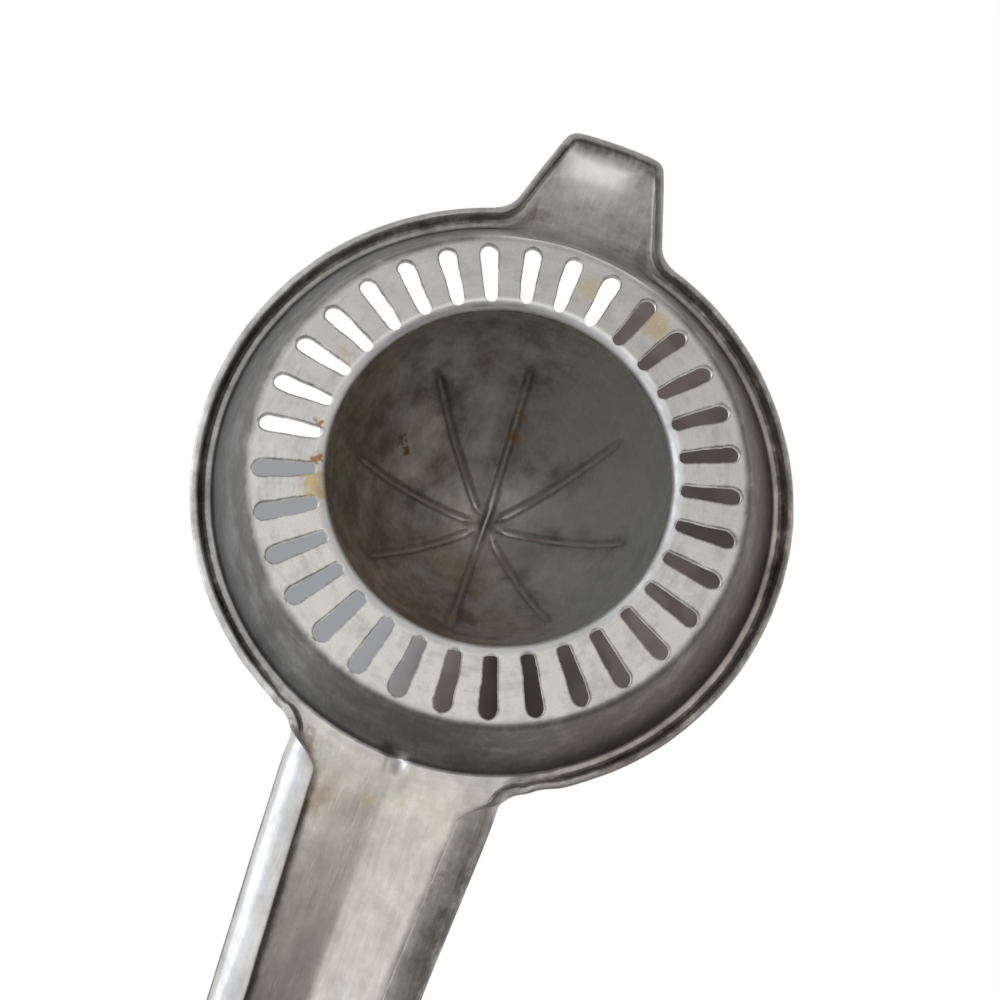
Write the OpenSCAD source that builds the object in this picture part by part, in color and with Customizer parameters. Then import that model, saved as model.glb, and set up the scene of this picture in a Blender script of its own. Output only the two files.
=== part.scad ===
// Hand citrus reamer pressed from one sheet of aluminium.
// Cone up is +Z, the handle runs along +X, the pouring lip along -X.
// The origin is on the cone's axis, in the plane that the strainer floor rests on.
// Each node is one formed zone of the pressing, and zones meet face to face at their fold lines.

/* [Sheet] */
// Thickness of the sheet
sheet_t = 1.2; // [0.9:0.1:1.5]

/* [Bowl] */
// Outside diameter of the rim at its lower edge
rim_d = 96; // [92:1:104]
// Height of the rim ledge's underside above the resting plane
bowl_depth = 10; // [8:0.5:14]
// How far the rim's lower edge stands outside the flat part of the strainer floor
wall_reach = 10.3; // [9.3:0.2:11.7]
// Bend radius where the floor turns up into the wall, on the underside
floor_fold_r = 1.8; // [1.6:0.1:2.4]
// Height of the rim flange's lower edge above the resting plane
rim_edge_z = 8; // [5:0.5:8.5]
// Outward lean of the rim flange, in degrees
rim_lean = 8; // [2:1:14]
// Inside radius of the bend between ledge and flange
rim_bend_r = 0.5; // [0.3:0.1:0.9]
// Width of the flat ledge inside the rim bend
ledge_w = 0.7; // [0.4:0.1:1.2]
// Bend radius where the wall turns out into the ledge, on the underside
ledge_fold_r = 0.8; // [0.5:0.1:1.2]

/* [Strainer slots] */
// Number of slots in the strainer floor
slot_count = 33; // [24:1:36]
// Width of a slot at its inner end
slot_inner_w = 2.4; // [1.8:0.1:2.8]
// Width of a slot at its outer end
slot_outer_w = 3.2; // [2.9:0.1:3.8]
// How far a slot runs into the fold at the cone's foot
slot_foot_run = 0.7; // [0:0.1:1]
// Flat land between a slot's outer end and the fold beside it
slot_land = 0.3; // [0.2:0.1:1]

/* [Reamer cone] */
// Inside radius of the cone at its foot
cone_r = 26.5; // [24:0.5:27.5]
// Inside height of the cone's top above the resting plane
cone_h = 36; // [32:1:42]
// Inward lean of the cone's wall at its foot, in degrees
cone_lean = 6; // [3:1:9]
// Bend radius at the cone's foot, on the underside
foot_fold_r = 1.8; // [1.6:0.1:2.2]

/* [Reaming ribs] */
// Number of reaming ribs
rib_count = 8; // [4:2:8]
// Radius of a rib's rounded back
rib_r = 1.7; // [1.5:0.1:2]
// Height of a rib above the cone at its middle
rib_h = 1; // [0.7:0.1:1.2]
// Radius of the groove that each rib leaves inside the cone
groove_r = 0.9; // [0.7:0.1:1.1]
// Height above the foot's plane at which a rib dies away
rib_low_z = 14; // [11:1:18]
// Radius from the axis at which a rib dies away under the cone's top
rib_top_r = 2.6; // [2:0.2:4]
// Length of the straight rib across the top of the cone
crest_len = 11; // [8:1:14]

/* [Pouring lip] */
// Distance from the axis to the lip's tip
lip_reach = 64; // [58:1:70]
// Width of the lip between its sides, measured at the tip
lip_w = 16.5; // [12:0.5:20]
// Angle by which each side of the lip spreads towards the bowl, in degrees
lip_spread = 16.5; // [10:0.5:20]
// Inside radius of the lip's corners
lip_corner_r = 0.6; // [0.4:0.1:2]
// Radius where a side of the lip meets the rim
lip_fillet_r = 5; // [4:0.5:7]
// Radius of the sweep from the wall into the lip's face
lip_sweep_r = 14; // [8:1:18]

/* [Handle] */
// Overall length from the lip's tip to the handle's end
overall_l = 200; // [180:1:230]
// Width of the handle at its root
root_w = 33; // [28:0.5:36]
// Distance from the axis to the handle's root
root_x = 50; // [49:0.5:52]
// Radius of the handle's rounded end
tip_r = 11.4; // [10:0.2:13]
// Radius where a side of the handle meets the rim
root_fillet_r = 3.8; // [3:0.2:5]
// Height of the central ridge of the handle
ridge_h = 1.2; // [0.6:0.1:1.8]
// Length over which the central ridge rises from the bowl
ridge_rise = 16; // [10:1:24]

/* [Handle curls] */
// How far the curled side reaches back under the handle
curl_reach = 5.3; // [4.5:0.1:6]
// Height of the curl's lowest point above the resting plane
curl_low_z = 5.2; // [4:0.1:6]
// Height of the curl's widest point above the resting plane
curl_wide_z = 8.6; // [8:0.1:9]
// Width of the rounded shoulder above the curl
curl_shoulder_w = 2.4; // [2:0.1:3]
// Length along the side over which the flange turns into the curl
curl_start_l = 6; // [4:0.5:9]
// Length along the side over which the curl turns back into a flange
curl_end_l = 12; // [8:1:18]

/* [Hanging hole] */
// Diameter of the hanging hole
hole_d = 6.5; // [4:0.5:8]
// Distance from the hole's centre to the handle's end
hole_inset = 7.2; // [6.8:0.2:8]

/* [Hidden] */
$fn = 64;

// Margin by which a cutting solid passes the face that it cuts
cut_past = 1;
// Intervals along a bend, a long curve, a straight side, the cone's meridian and a row of the web
bend_steps = 5;
sweep_steps = 8;
side_steps = 8;
meridian_steps = 20;
columns = 16;
// Sides of the round bars that shape the ribs and their grooves
bar_sides = 24;
// Depth under the cone's inner face at which a groove has run out, in groove radii
groove_fade = 1.5;
// Share of a rib's lift that the crest has at the cone's top, and that a rib's upper end keeps
crest_share = 0.5;
upper_share = 0.25;

// Basic functions
function dir(a) = [cos(a), sin(a)];
function mix(a, b, w) = a + (b - a) * w;
function clamp01(x) = min(max(x, 0), 1);
function ease(x) = let(c = clamp01(x)) c * c * (3 - 2 * c);
function unit(v) = v / norm(v);
function heading(v) = atan2(v[1], v[0]);
function flip(v) = [v[0], -v[1]];
function reversed(list) = [for (i = [len(list) - 1:-1:0]) list[i]];

// A station is a point on the underside of the sheet with the normal towards its upper side.
// bent_up has its centre above the sheet, bent_down below it.
function bent_up(c, r, a0, a1, steps) =
    [for (i = [0:steps]) let(u = dir(mix(a0, a1, i / steps))) [c + r * u, -u]];
function bent_down(c, r, a0, a1, steps) =
    [for (i = [0:steps]) let(u = dir(mix(a0, a1, i / steps))) [c + r * u, u]];
function sheet_outline(stations) = concat(
    [for (s = stations) s[0]],
    [for (s = reversed(stations)) s[0] + sheet_t * s[1]]
);

// Foot of the cone
foot_c = [cone_r + foot_fold_r * cos(cone_lean), foot_fold_r];
foot_fold = bent_up(foot_c, foot_fold_r, cone_lean - 180, -90, bend_steps);
cone_foot = foot_fold[0][0];

// The cone's meridian is one arc, tangent to its foot, that ends on the axis
foot_to_top = [-cone_foot[0], cone_h - cone_foot[1]];
ogive_r = foot_to_top * foot_to_top
    / (2 * (cone_foot[0] * cos(cone_lean) - foot_to_top[1] * sin(cone_lean)));
ogive_c = cone_foot - ogive_r * dir(cone_lean);
function meridian(lift) = let(top_a = acos(-ogive_c[0] / (ogive_r + lift)))
    [for (i = [0:meridian_steps])
        ogive_c + (ogive_r + lift) * dir(mix(cone_lean, top_a, i / meridian_steps))];
foot_line_z = ogive_c[1] - ogive_c[0] * tan(cone_lean);

// Rim section, worked inwards from the rim's lower edge
rim_r = rim_d / 2;
floor_r = rim_r - wall_reach;
bend_z = bowl_depth - rim_bend_r;
flange_l = (bend_z + rim_bend_r * sin(rim_lean) - rim_edge_z) / cos(rim_lean);
bend_inset = sheet_t * cos(rim_lean) + rim_bend_r * cos(rim_lean) + flange_l * sin(rim_lean);
bend_r = rim_r - bend_inset;
ledge_r = bend_r - ledge_w;

// The wall is the straight line that touches the floor fold and the ledge fold
floor_c = [floor_r, floor_fold_r];
ledge_c = [ledge_r, bowl_depth - ledge_fold_r];
wall_slope = heading(ledge_c - floor_c) + asin((floor_fold_r + ledge_fold_r) / norm(ledge_c - floor_c));
floor_fold = bent_up(floor_c, floor_fold_r, -90, wall_slope - 90, bend_steps);
wall_foot = floor_fold[bend_steps];
ledge_fold = bent_down(ledge_c, ledge_fold_r, 90 + wall_slope, 90, sweep_steps);

// Flange stations as a distance outwards from the bend's centre, with a height
function flange_stations(run_steps) = let(
        bend = bent_down([0, bend_z], rim_bend_r, 90, rim_lean, bend_steps),
        start = bend[bend_steps][0],
        normal = bend[bend_steps][1],
        run = [sin(rim_lean), -cos(rim_lean)] * flange_l
    )
    concat(bend, [for (i = [1:run_steps]) [start + run * i / run_steps, normal]]);

// An outline sample is a point on the silhouette seen from above, with its outward normal
function arc_samples(c, r, a0, a1, steps, out) =
    [for (i = [0:steps]) let(u = dir(mix(a0, a1, i / steps))) [c + r * u, out * u]];
function line_samples(p, q, n, steps) = [for (i = [1:steps]) [mix(p, q, i / steps), n]];
function without_first(list) = [for (i = [1:len(list) - 1]) list[i]];

// Outline of the lip from its tip to the rim, on the +Y side
lip_dir = dir(lip_spread);
lip_n = [-sin(lip_spread), cos(lip_spread)];
lip_c = lip_n * [-lip_reach, lip_w / 2];
lip_bend_r = bend_inset + lip_corner_r;
corner_run = sqrt(pow(lip_reach - lip_bend_r, 2) - pow(lip_c - lip_bend_r, 2));
corner_c = (lip_c - lip_bend_r) * lip_n - corner_run * lip_dir;
lip_fillet_run = sqrt(pow(rim_r + lip_fillet_r, 2) - pow(lip_c + lip_fillet_r, 2));
lip_fillet_c = (lip_c + lip_fillet_r) * lip_n - lip_fillet_run * lip_dir;
lip_join = heading(lip_fillet_c);
lip_half = concat(
    arc_samples([0, 0], lip_reach, 180, heading(corner_c), sweep_steps, 1),
    without_first(arc_samples(corner_c, lip_bend_r, heading(corner_c), heading(lip_n), bend_steps, 1)),
    line_samples(corner_c + lip_bend_r * lip_n, lip_fillet_c - lip_fillet_r * lip_n, lip_n, side_steps),
    without_first(arc_samples(
        lip_fillet_c, lip_fillet_r, heading(-lip_n), heading(-lip_fillet_c), sweep_steps, -1))
);

// Outline of the handle from the rim to its rounded end, on the +Y side
end_x = overall_l - lip_reach - tip_r;
root_span = [root_w / 2, end_x - root_x];
taper = acos(tip_r / norm(root_span)) - heading(root_span);
side_n = [sin(taper), cos(taper)];
side_dir = [cos(taper), -sin(taper)];
side_c = end_x * sin(taper) + tip_r;
root_fillet_run = sqrt(pow(rim_r + root_fillet_r, 2) - pow(side_c + root_fillet_r, 2));
root_fillet_c = (side_c + root_fillet_r) * side_n + root_fillet_run * side_dir;
root_join = heading(root_fillet_c);
side_start = root_fillet_c - root_fillet_r * side_n;
side_end = [end_x, 0] + tip_r * side_n;
side_l = norm(side_end - side_start);
plate_l = tip_r / 2;
function side_point(s) = [side_start + s * side_dir, side_n];
handle_half = concat(
    arc_samples(root_fillet_c, root_fillet_r, heading(-root_fillet_c), heading(-side_n), sweep_steps, -1),
    [for (i = [1:side_steps]) side_point(curl_start_l * i / side_steps)],
    [for (i = [1:side_steps])
        side_point(mix(curl_start_l, side_l - plate_l - curl_end_l, i / side_steps))],
    [for (i = [1:side_steps]) side_point(side_l - plate_l - curl_end_l * (1 - i / side_steps))]
);
handle_side = concat(handle_half, [side_point(side_l)]);

// Share of the full curl at an outline sample, from its run along the straight side
function side_run(p) = (p - side_start) * side_dir;
function curl_share(p) =
    ease((side_run(p) + root_fillet_r / 2) / curl_start_l)
    * ease((side_l - plate_l - side_run(p)) / curl_end_l);

// Curl stations as an inset from the silhouette with a height, on the inner face of the sheet
curl_top_a = bowl_depth - curl_wide_z;
curl_low_a = curl_wide_z - curl_low_z - sheet_t;
function curl_points() = concat(
    [for (i = [0:bend_steps]) let(a = 90 * (1 - i / bend_steps))
        [curl_shoulder_w - (curl_shoulder_w - sheet_t) * cos(a), curl_wide_z + curl_top_a * sin(a)]],
    [for (i = [1:side_steps]) let(a = 90 * i / side_steps)
        [curl_reach - (curl_reach - sheet_t) * cos(a), curl_wide_z - curl_low_a * sin(a)]]
);

// Normals of a chain of points, on its left side as it runs
function left_of(v) = [-v[1], v[0]];
function chain_stations(points) = [for (i = [0:len(points) - 1])
    let(before = points[max(i - 1, 0)], after = points[min(i + 1, len(points) - 1)])
    [points[i], i == 0 ? [0, 1] : left_of(unit(after - before))]];

// Stations of the handle's side, measured outwards from the silhouette
function side_stations(share) = let(flange = flange_stations(side_steps), curl = curl_points())
    chain_stations([for (i = [0:len(curl) - 1])
        mix(flange[i][0] - [bend_inset, 0], [-curl[i][0], curl[i][1]], share)]);

// Places a station beside a plan point: its first coordinate runs along the plan direction
function placed(origin, along, st, lift) =
    let(p = st[0] + lift * st[1]) [origin[0] + along[0] * p[0], origin[1] + along[1] * p[0], p[1]];
function ring(origin, along, stations) = concat(
    [for (s = stations) placed(origin, along, s, 0)],
    [for (s = reversed(stations)) placed(origin, along, s, sheet_t)]
);

// Ring of the lip at an outline sample: wall, sweep and face along the line from the floor fold to
// the rim bend, then the flange square to the silhouette
reach_at_slope = sin(wall_slope) - (1 - cos(wall_slope)) / tan(wall_slope);
function lip_ring(p, n) = let(
        q = p - bend_inset * n,
        w = wall_foot[0][0] * unit(p),
        along = unit(q - w),
        room = norm(q - w) - ledge_w,
        wall_run = (bowl_depth - wall_foot[0][1]) / tan(wall_slope),
        r = min(lip_sweep_r, (room - wall_run) / reach_at_slope),
        sweep_c = [wall_run + r * reach_at_slope, bowl_depth - r],
        face = concat(
            [[[0, wall_foot[0][1]], wall_foot[1]]],
            bent_down(sweep_c, r, 90 + wall_slope, 90, sweep_steps)
        ),
        flange = flange_stations(1)
    )
    concat(
        [for (s = face) placed(w, along, s, 0)],
        [for (s = flange) placed(q, n, s, 0)],
        [for (s = reversed(flange)) placed(q, n, s, sheet_t)],
        [for (s = reversed(face)) placed(w, along, s, sheet_t)]
    );

// Closed skin through rings of equal length. Each ring runs along one face of the sheet and back
// along the other, so its cap is a strip of quads between the two.
module loft(rings) {
    count = len(rings[0]);
    base = (len(rings) - 1) * count;
    sides = [for (i = [0:len(rings) - 2], j = [0:count - 1]) let(
            a = i * count + j,
            b = i * count + (j + 1) % count
        ) each [[a, b, b + count], [a, b + count, a + count]]];
    caps = [for (j = [0:count / 2 - 2]) let(k = count - 1 - j) each [
            [j + 1, j, k], [j + 1, k, k - 1],
            [base + j, base + j + 1, base + k], [base + j + 1, base + k - 1, base + k]
        ]];
    polyhedron(points = [for (r = rings) each r], faces = concat(sides, caps), convexity = 6);
}

// Part of a turn about the axis, from one angle to another
module turned(from, to) {
    rotate([0, 0, from]) rotate_extrude(angle = to - from) children();
}

// Circle through three points, as its centre and radius
function circle_through(a, b, c) = let(
        d = 2 * (a[0] * (b[1] - c[1]) + b[0] * (c[1] - a[1]) + c[0] * (a[1] - b[1])),
        x = ((a * a) * (b[1] - c[1]) + (b * b) * (c[1] - a[1]) + (c * c) * (a[1] - b[1])) / d,
        y = ((a * a) * (c[0] - b[0]) + (b * b) * (a[0] - c[0]) + (c * c) * (b[0] - a[0])) / d
    ) [[x, y], norm(a - [x, y])];

// Round bar of radius r in the XZ plane, along the arc from a through b to c
module bar(a, b, c, r) {
    arc = circle_through(a, b, c);
    from = heading(a - arc[0]);
    translate([arc[0][0], 0, arc[0][1]]) rotate([90, 0, 0]) rotate([0, 0, from]) mirror([0, 0, 1])
        rotate_extrude(angle = heading(c - arc[0]) - from) translate([arc[1], 0])
            circle(r, $fn = bar_sides);
}

// Bars along the ribs. Each is lifted above the cone's inner face by `mid_lift` at its middle, and
// by `end_lift` where it dies away.
rib_low_a = asin((rib_low_z - ogive_c[1]) / ogive_r);
rib_top_a = acos((rib_top_r - ogive_c[0]) / ogive_r);
module rib_bars(r, mid_lift, end_lift) {
    for (i = [0:rib_count - 1]) rotate([0, 0, 360 * i / rib_count])
        bar(
            ogive_c + (ogive_r + end_lift) * dir(rib_low_a),
            ogive_c + (ogive_r + mid_lift) * dir((rib_low_a + rib_top_a) / 2),
            ogive_c + (ogive_r + end_lift * upper_share) * dir(rib_top_a),
            r
        );
}

// Straight bar across the top of the cone, in line with the handle
crest_x = crest_len / 2;
function meridian_z(x) = ogive_c[1] + sqrt(ogive_r * ogive_r - pow(x - ogive_c[0], 2));
module crest_bar(r, mid_lift, end_lift) {
    ends_z = meridian_z(crest_x) + end_lift;
    bar([crest_x, ends_z], [0, cone_h + mid_lift], [-crest_x, ends_z], r);
}

module reamer_cone() {
    inner = meridian(0);
    rib_lift = sheet_t + rib_h - rib_r;
    groove_lift = rib_lift + rib_r - sheet_t - groove_r;
    color("darkgray") difference() {
        union() {
            rotate_extrude() polygon(concat([[0, foot_line_z]], meridian(sheet_t)));
            rib_bars(rib_r, rib_lift, -sheet_t);
            crest_bar(rib_r, rib_lift * crest_share, -sheet_t);
        }
        rotate_extrude() polygon(concat(
            [[0, foot_line_z - cut_past], [inner[0][0], inner[0][1] - cut_past]], inner));
        rib_bars(groove_r, groove_lift, -groove_r * groove_fade);
        crest_bar(groove_r, groove_lift * crest_share, -groove_r * groove_fade);
    }
}

module strainer_slot() {
    inner_r = slot_inner_w / 2;
    outer_r = slot_outer_w / 2;
    inner_x = foot_c[0] - slot_foot_run + inner_r;
    outer_x = floor_r - slot_land - outer_r;
    splay = asin((outer_r - inner_r) / (outer_x - inner_x));
    side_in = inner_r * [-sin(splay), cos(splay)];
    side_out = outer_r * [-sin(splay), cos(splay)];
    translate([0, 0, -cut_past]) linear_extrude(sheet_t + 2 * cut_past) {
        translate([inner_x, 0]) circle(inner_r);
        translate([outer_x, 0]) circle(outer_r);
        polygon([[inner_x, 0] + side_in, [outer_x, 0] + side_out,
                 [outer_x, 0] + flip(side_out), [inner_x, 0] + flip(side_in)]);
    }
}

module strainer_floor() {
    color("silver") difference() {
        rotate_extrude() polygon(sheet_outline(concat(foot_fold, floor_fold)));
        for (i = [0:slot_count - 1]) rotate([0, 0, 360 * (i + 0.5) / slot_count]) strainer_slot();
    }
}

module bowl_wall() {
    color("gray") turned(-lip_join, lip_join) polygon(sheet_outline(concat([wall_foot], ledge_fold)));
}

module left_rim() {
    flange = [for (s = flange_stations(1)) [s[0] + [bend_r, 0], s[1]]];
    color("silver") turned(root_join, lip_join)
        polygon(sheet_outline(concat([ledge_fold[sweep_steps]], flange)));
}

module right_rim() {
    mirror([0, 1, 0]) left_rim();
}

module pouring_lip() {
    left = [for (s = reversed(lip_half)) lip_ring(s[0], s[1])];
    right = [for (s = without_first(lip_half)) lip_ring(flip(s[0]), flip(s[1]))];
    color("silver") loft(concat(left, right));
}

// Line where the handle's flat top meets its rounded side
function web_edge(s) = let(q = mix(bend_inset, curl_shoulder_w, curl_share(s[0]))) s[0] - q * s[1];

// Row of the web between its two edges: an arc about the axis near the bowl, straight further out
function web_row(edge, straight) = [for (j = [0:columns]) let(
        y = edge[1] * (2 * j / columns - 1),
        x = mix(sqrt(edge * edge - y * y), edge[0], straight)
    ) [x, y, bowl_depth + ridge_at(x) * (1 - abs(y) / edge[1])]];
web_end_x = (side_start + (side_l - plate_l) * side_dir)[0];
function ridge_at(x) = ridge_h * ease((x - ledge_r) / ridge_rise) * ease((web_end_x - x) / ridge_rise);

module handle_web() {
    edges = concat([ledge_r * dir(root_join)], [for (s = handle_half) web_edge(s)]);
    straight_from = bend_r;
    straight_to = root_x + curl_start_l;
    rows = [for (e = edges) web_row(e, ease((norm(e) - straight_from) / (straight_to - straight_from)))];
    rings = [for (row = rows) concat(row, [for (p = reversed(row)) p + [0, 0, sheet_t]])];
    color("lightgray") loft(rings);
}

module left_curl() {
    rings = [for (s = handle_side) ring(s[0], s[1], side_stations(curl_share(s[0])))];
    color("silver") loft(reversed(rings));
}

module right_curl() {
    mirror([0, 1, 0]) left_curl();
}

module handle_end() {
    corner = web_edge(handle_half[len(handle_half) - 1]);
    plate_r = tip_r - bend_inset;
    end_edge = [end_x, 0] + plate_r * side_n;
    plate_tip = [end_x + plate_r / 2, 0];
    flange = [for (s = flange_stations(1)) [s[0] + [plate_r, 0], s[1]]];
    color("lightgray") difference() {
        union() {
            translate([0, 0, bowl_depth]) linear_extrude(sheet_t)
                polygon([corner, end_edge, plate_tip, flip(end_edge), flip(corner)]);
            translate([end_x, 0, 0]) turned(taper - 90, 90 - taper)
                polygon(sheet_outline(concat([[[0, bowl_depth], [0, 1]]], flange)));
        }
        translate([end_x + tip_r - hole_inset, 0, bowl_depth - cut_past])
            cylinder(h = sheet_t + 2 * cut_past, d = hole_d);
    }
}

reamer_cone();
strainer_floor();
bowl_wall();
left_rim();
right_rim();
pouring_lip();
handle_web();
left_curl();
right_curl();
handle_end();
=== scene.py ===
"""Visual model of a hand citrus reamer that was pressed from one sheet of aluminium.

The reamer stands cone up, its handle runs along +X and its pouring lip along -X. Every formed zone
of the sheet is a piece of its own, and neighbouring pieces share their edge along a fold line.
Each piece starts as the underside of the sheet, which is then raised by the sheet's thickness.
Lengths are in millimetres until a piece is finished, and in metres from then on.
"""

import logging
import math
from dataclasses import dataclass
from enum import Enum
from functools import cached_property
from typing import Callable, NamedTuple, Sequence, Union

import bmesh
import bpy
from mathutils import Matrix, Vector, noise


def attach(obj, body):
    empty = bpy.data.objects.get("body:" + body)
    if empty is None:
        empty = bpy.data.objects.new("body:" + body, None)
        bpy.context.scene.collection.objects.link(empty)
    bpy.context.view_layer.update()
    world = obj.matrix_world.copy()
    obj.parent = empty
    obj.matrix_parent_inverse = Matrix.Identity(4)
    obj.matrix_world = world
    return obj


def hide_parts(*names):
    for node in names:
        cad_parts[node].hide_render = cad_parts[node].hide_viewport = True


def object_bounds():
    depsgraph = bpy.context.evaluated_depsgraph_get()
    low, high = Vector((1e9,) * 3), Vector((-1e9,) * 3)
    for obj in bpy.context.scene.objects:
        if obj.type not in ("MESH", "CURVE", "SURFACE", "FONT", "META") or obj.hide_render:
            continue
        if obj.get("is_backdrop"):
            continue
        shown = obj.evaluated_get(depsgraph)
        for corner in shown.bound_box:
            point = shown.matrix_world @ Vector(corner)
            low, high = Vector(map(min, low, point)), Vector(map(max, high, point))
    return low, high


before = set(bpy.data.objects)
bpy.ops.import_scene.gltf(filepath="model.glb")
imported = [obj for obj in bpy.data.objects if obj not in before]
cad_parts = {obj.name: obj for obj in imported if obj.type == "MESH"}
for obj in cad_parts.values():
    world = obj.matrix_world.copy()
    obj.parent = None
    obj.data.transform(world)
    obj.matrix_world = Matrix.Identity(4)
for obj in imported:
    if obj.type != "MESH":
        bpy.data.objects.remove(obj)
CAD_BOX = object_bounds()

LOG = logging.getLogger("citrus_reamer")
METRES = 0.001
BODY = "root"
WEAR_SEED = 5
WELD = 0.002
SMOOTH_UP_TO = 38.0


class Slot(Enum):
    """Material slots of the record that the pieces take their finish from."""

    RUBBED = "rubbed_aluminium"
    DULLED = "dulled_aluminium"
    BRIGHT = "bright_aluminium"


class Side(Enum):
    """Sides of the reamer, seen from above with the handle pointing away from the viewer."""

    LEFT = 1
    RIGHT = -1


class Station(NamedTuple):
    """Point of a section on the underside of the sheet, with the normal towards its upper side."""

    run: float
    z: float
    normal_run: float
    normal_z: float


class Sample(NamedTuple):
    """Point of the silhouette seen from above, with its outward normal."""

    point: Vector
    normal: Vector


class Spot(NamedTuple):
    """Point on the underside of the sheet in space, with the normal towards its upper side."""

    point: Vector
    rise: Vector


Placer = Callable[[int, int], Spot]
Band = tuple[float, float]
Triple = tuple[float, float, float]
Colour = tuple[float, float, float, float]
Value = Union["Wire", float]
Settings = dict[str, object] | None
Inputs = dict[str | int, object] | None

# Centre of the painted highlight on the lip's face.
LIP_HIGHLIGHT_AT: Triple = (-59.2, 1.8, 8.6)


def polar(angle: float, radius: float = 1.0) -> Vector:
    """Returns the plan vector of a radius at an angle in degrees."""
    return Vector((radius * math.cos(math.radians(angle)), radius * math.sin(math.radians(angle))))


def heading(vector: Vector) -> float:
    """Returns the angle of a plan vector in degrees."""
    return math.degrees(math.atan2(vector.y, vector.x))


def mix(start: float, end: float, share: float) -> float:
    """Returns the value that lies a share of the way from start to end."""
    return start + (end - start) * share


def ease(x: float) -> float:
    """Returns a smooth step from 0 to 1 as x goes from 0 to 1."""
    c = min(max(x, 0.0), 1.0)
    return c * c * (3 - 2 * c)


def ramp(x: float, start: float, end: float) -> float:
    """Returns a smooth step from 0 at start to 1 at end, also where end is the smaller."""
    return ease((x - start) / (end - start))


def hump(x: float) -> float:
    """Returns a smooth bump of height 1 at 0 that ends at -1 and 1."""
    return (1 - x * x) ** 2 if abs(x) < 1 else 0.0


def bump(x: float, middle: float, half_w: float) -> float:
    """Returns a smooth bump of height 1 at its middle, 0 from half its width on."""
    return hump((x - middle) / half_w)


def spread(i: int, count: int, power: float = 1.3) -> float:
    """Returns the place of column i from -1 to 1, with the columns closer in the middle."""
    even = 2 * i / count - 1
    return math.copysign(abs(even) ** power, even)


def arc(start: float, end: float, steps: int) -> list[Vector]:
    """Returns the unit vectors from one angle to another in degrees, steps + 1 of them."""
    return [polar(mix(start, end, i / steps)) for i in range(steps + 1)]


def bent(centre: Band | Vector, r: float, units: Sequence[Vector], way: int) -> list[Station]:
    """Returns stations along a bend. Way is 1 where its centre lies below the sheet, or else -1."""
    x, z = centre
    return [Station(x + r * u.x, z + r * u.y, way * u.x, way * u.y) for u in units]


def arc_samples(centre: Vector, r: float, units: Sequence[Vector], out: int) -> list[Sample]:
    """Returns silhouette samples. Out is 1 where they face away from the centre, or else -1."""
    return [Sample(centre + r * u, out * u) for u in units]


def show(name: str, data: bpy.types.ID) -> bpy.types.Object:
    """Returns a new object of the scene with a mesh, a lamp or a camera as its data."""
    shown = bpy.data.objects.new(name, data)
    bpy.context.scene.collection.objects.link(shown)
    return shown


def show_mesh(name: str, bm: bmesh.types.BMesh) -> bpy.types.Object:
    """Returns a new object of the scene with a bmesh as its mesh, and frees the bmesh."""
    mesh = bpy.data.meshes.new(name)
    bm.to_mesh(mesh)
    bm.free()
    return show(name, mesh)


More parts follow.
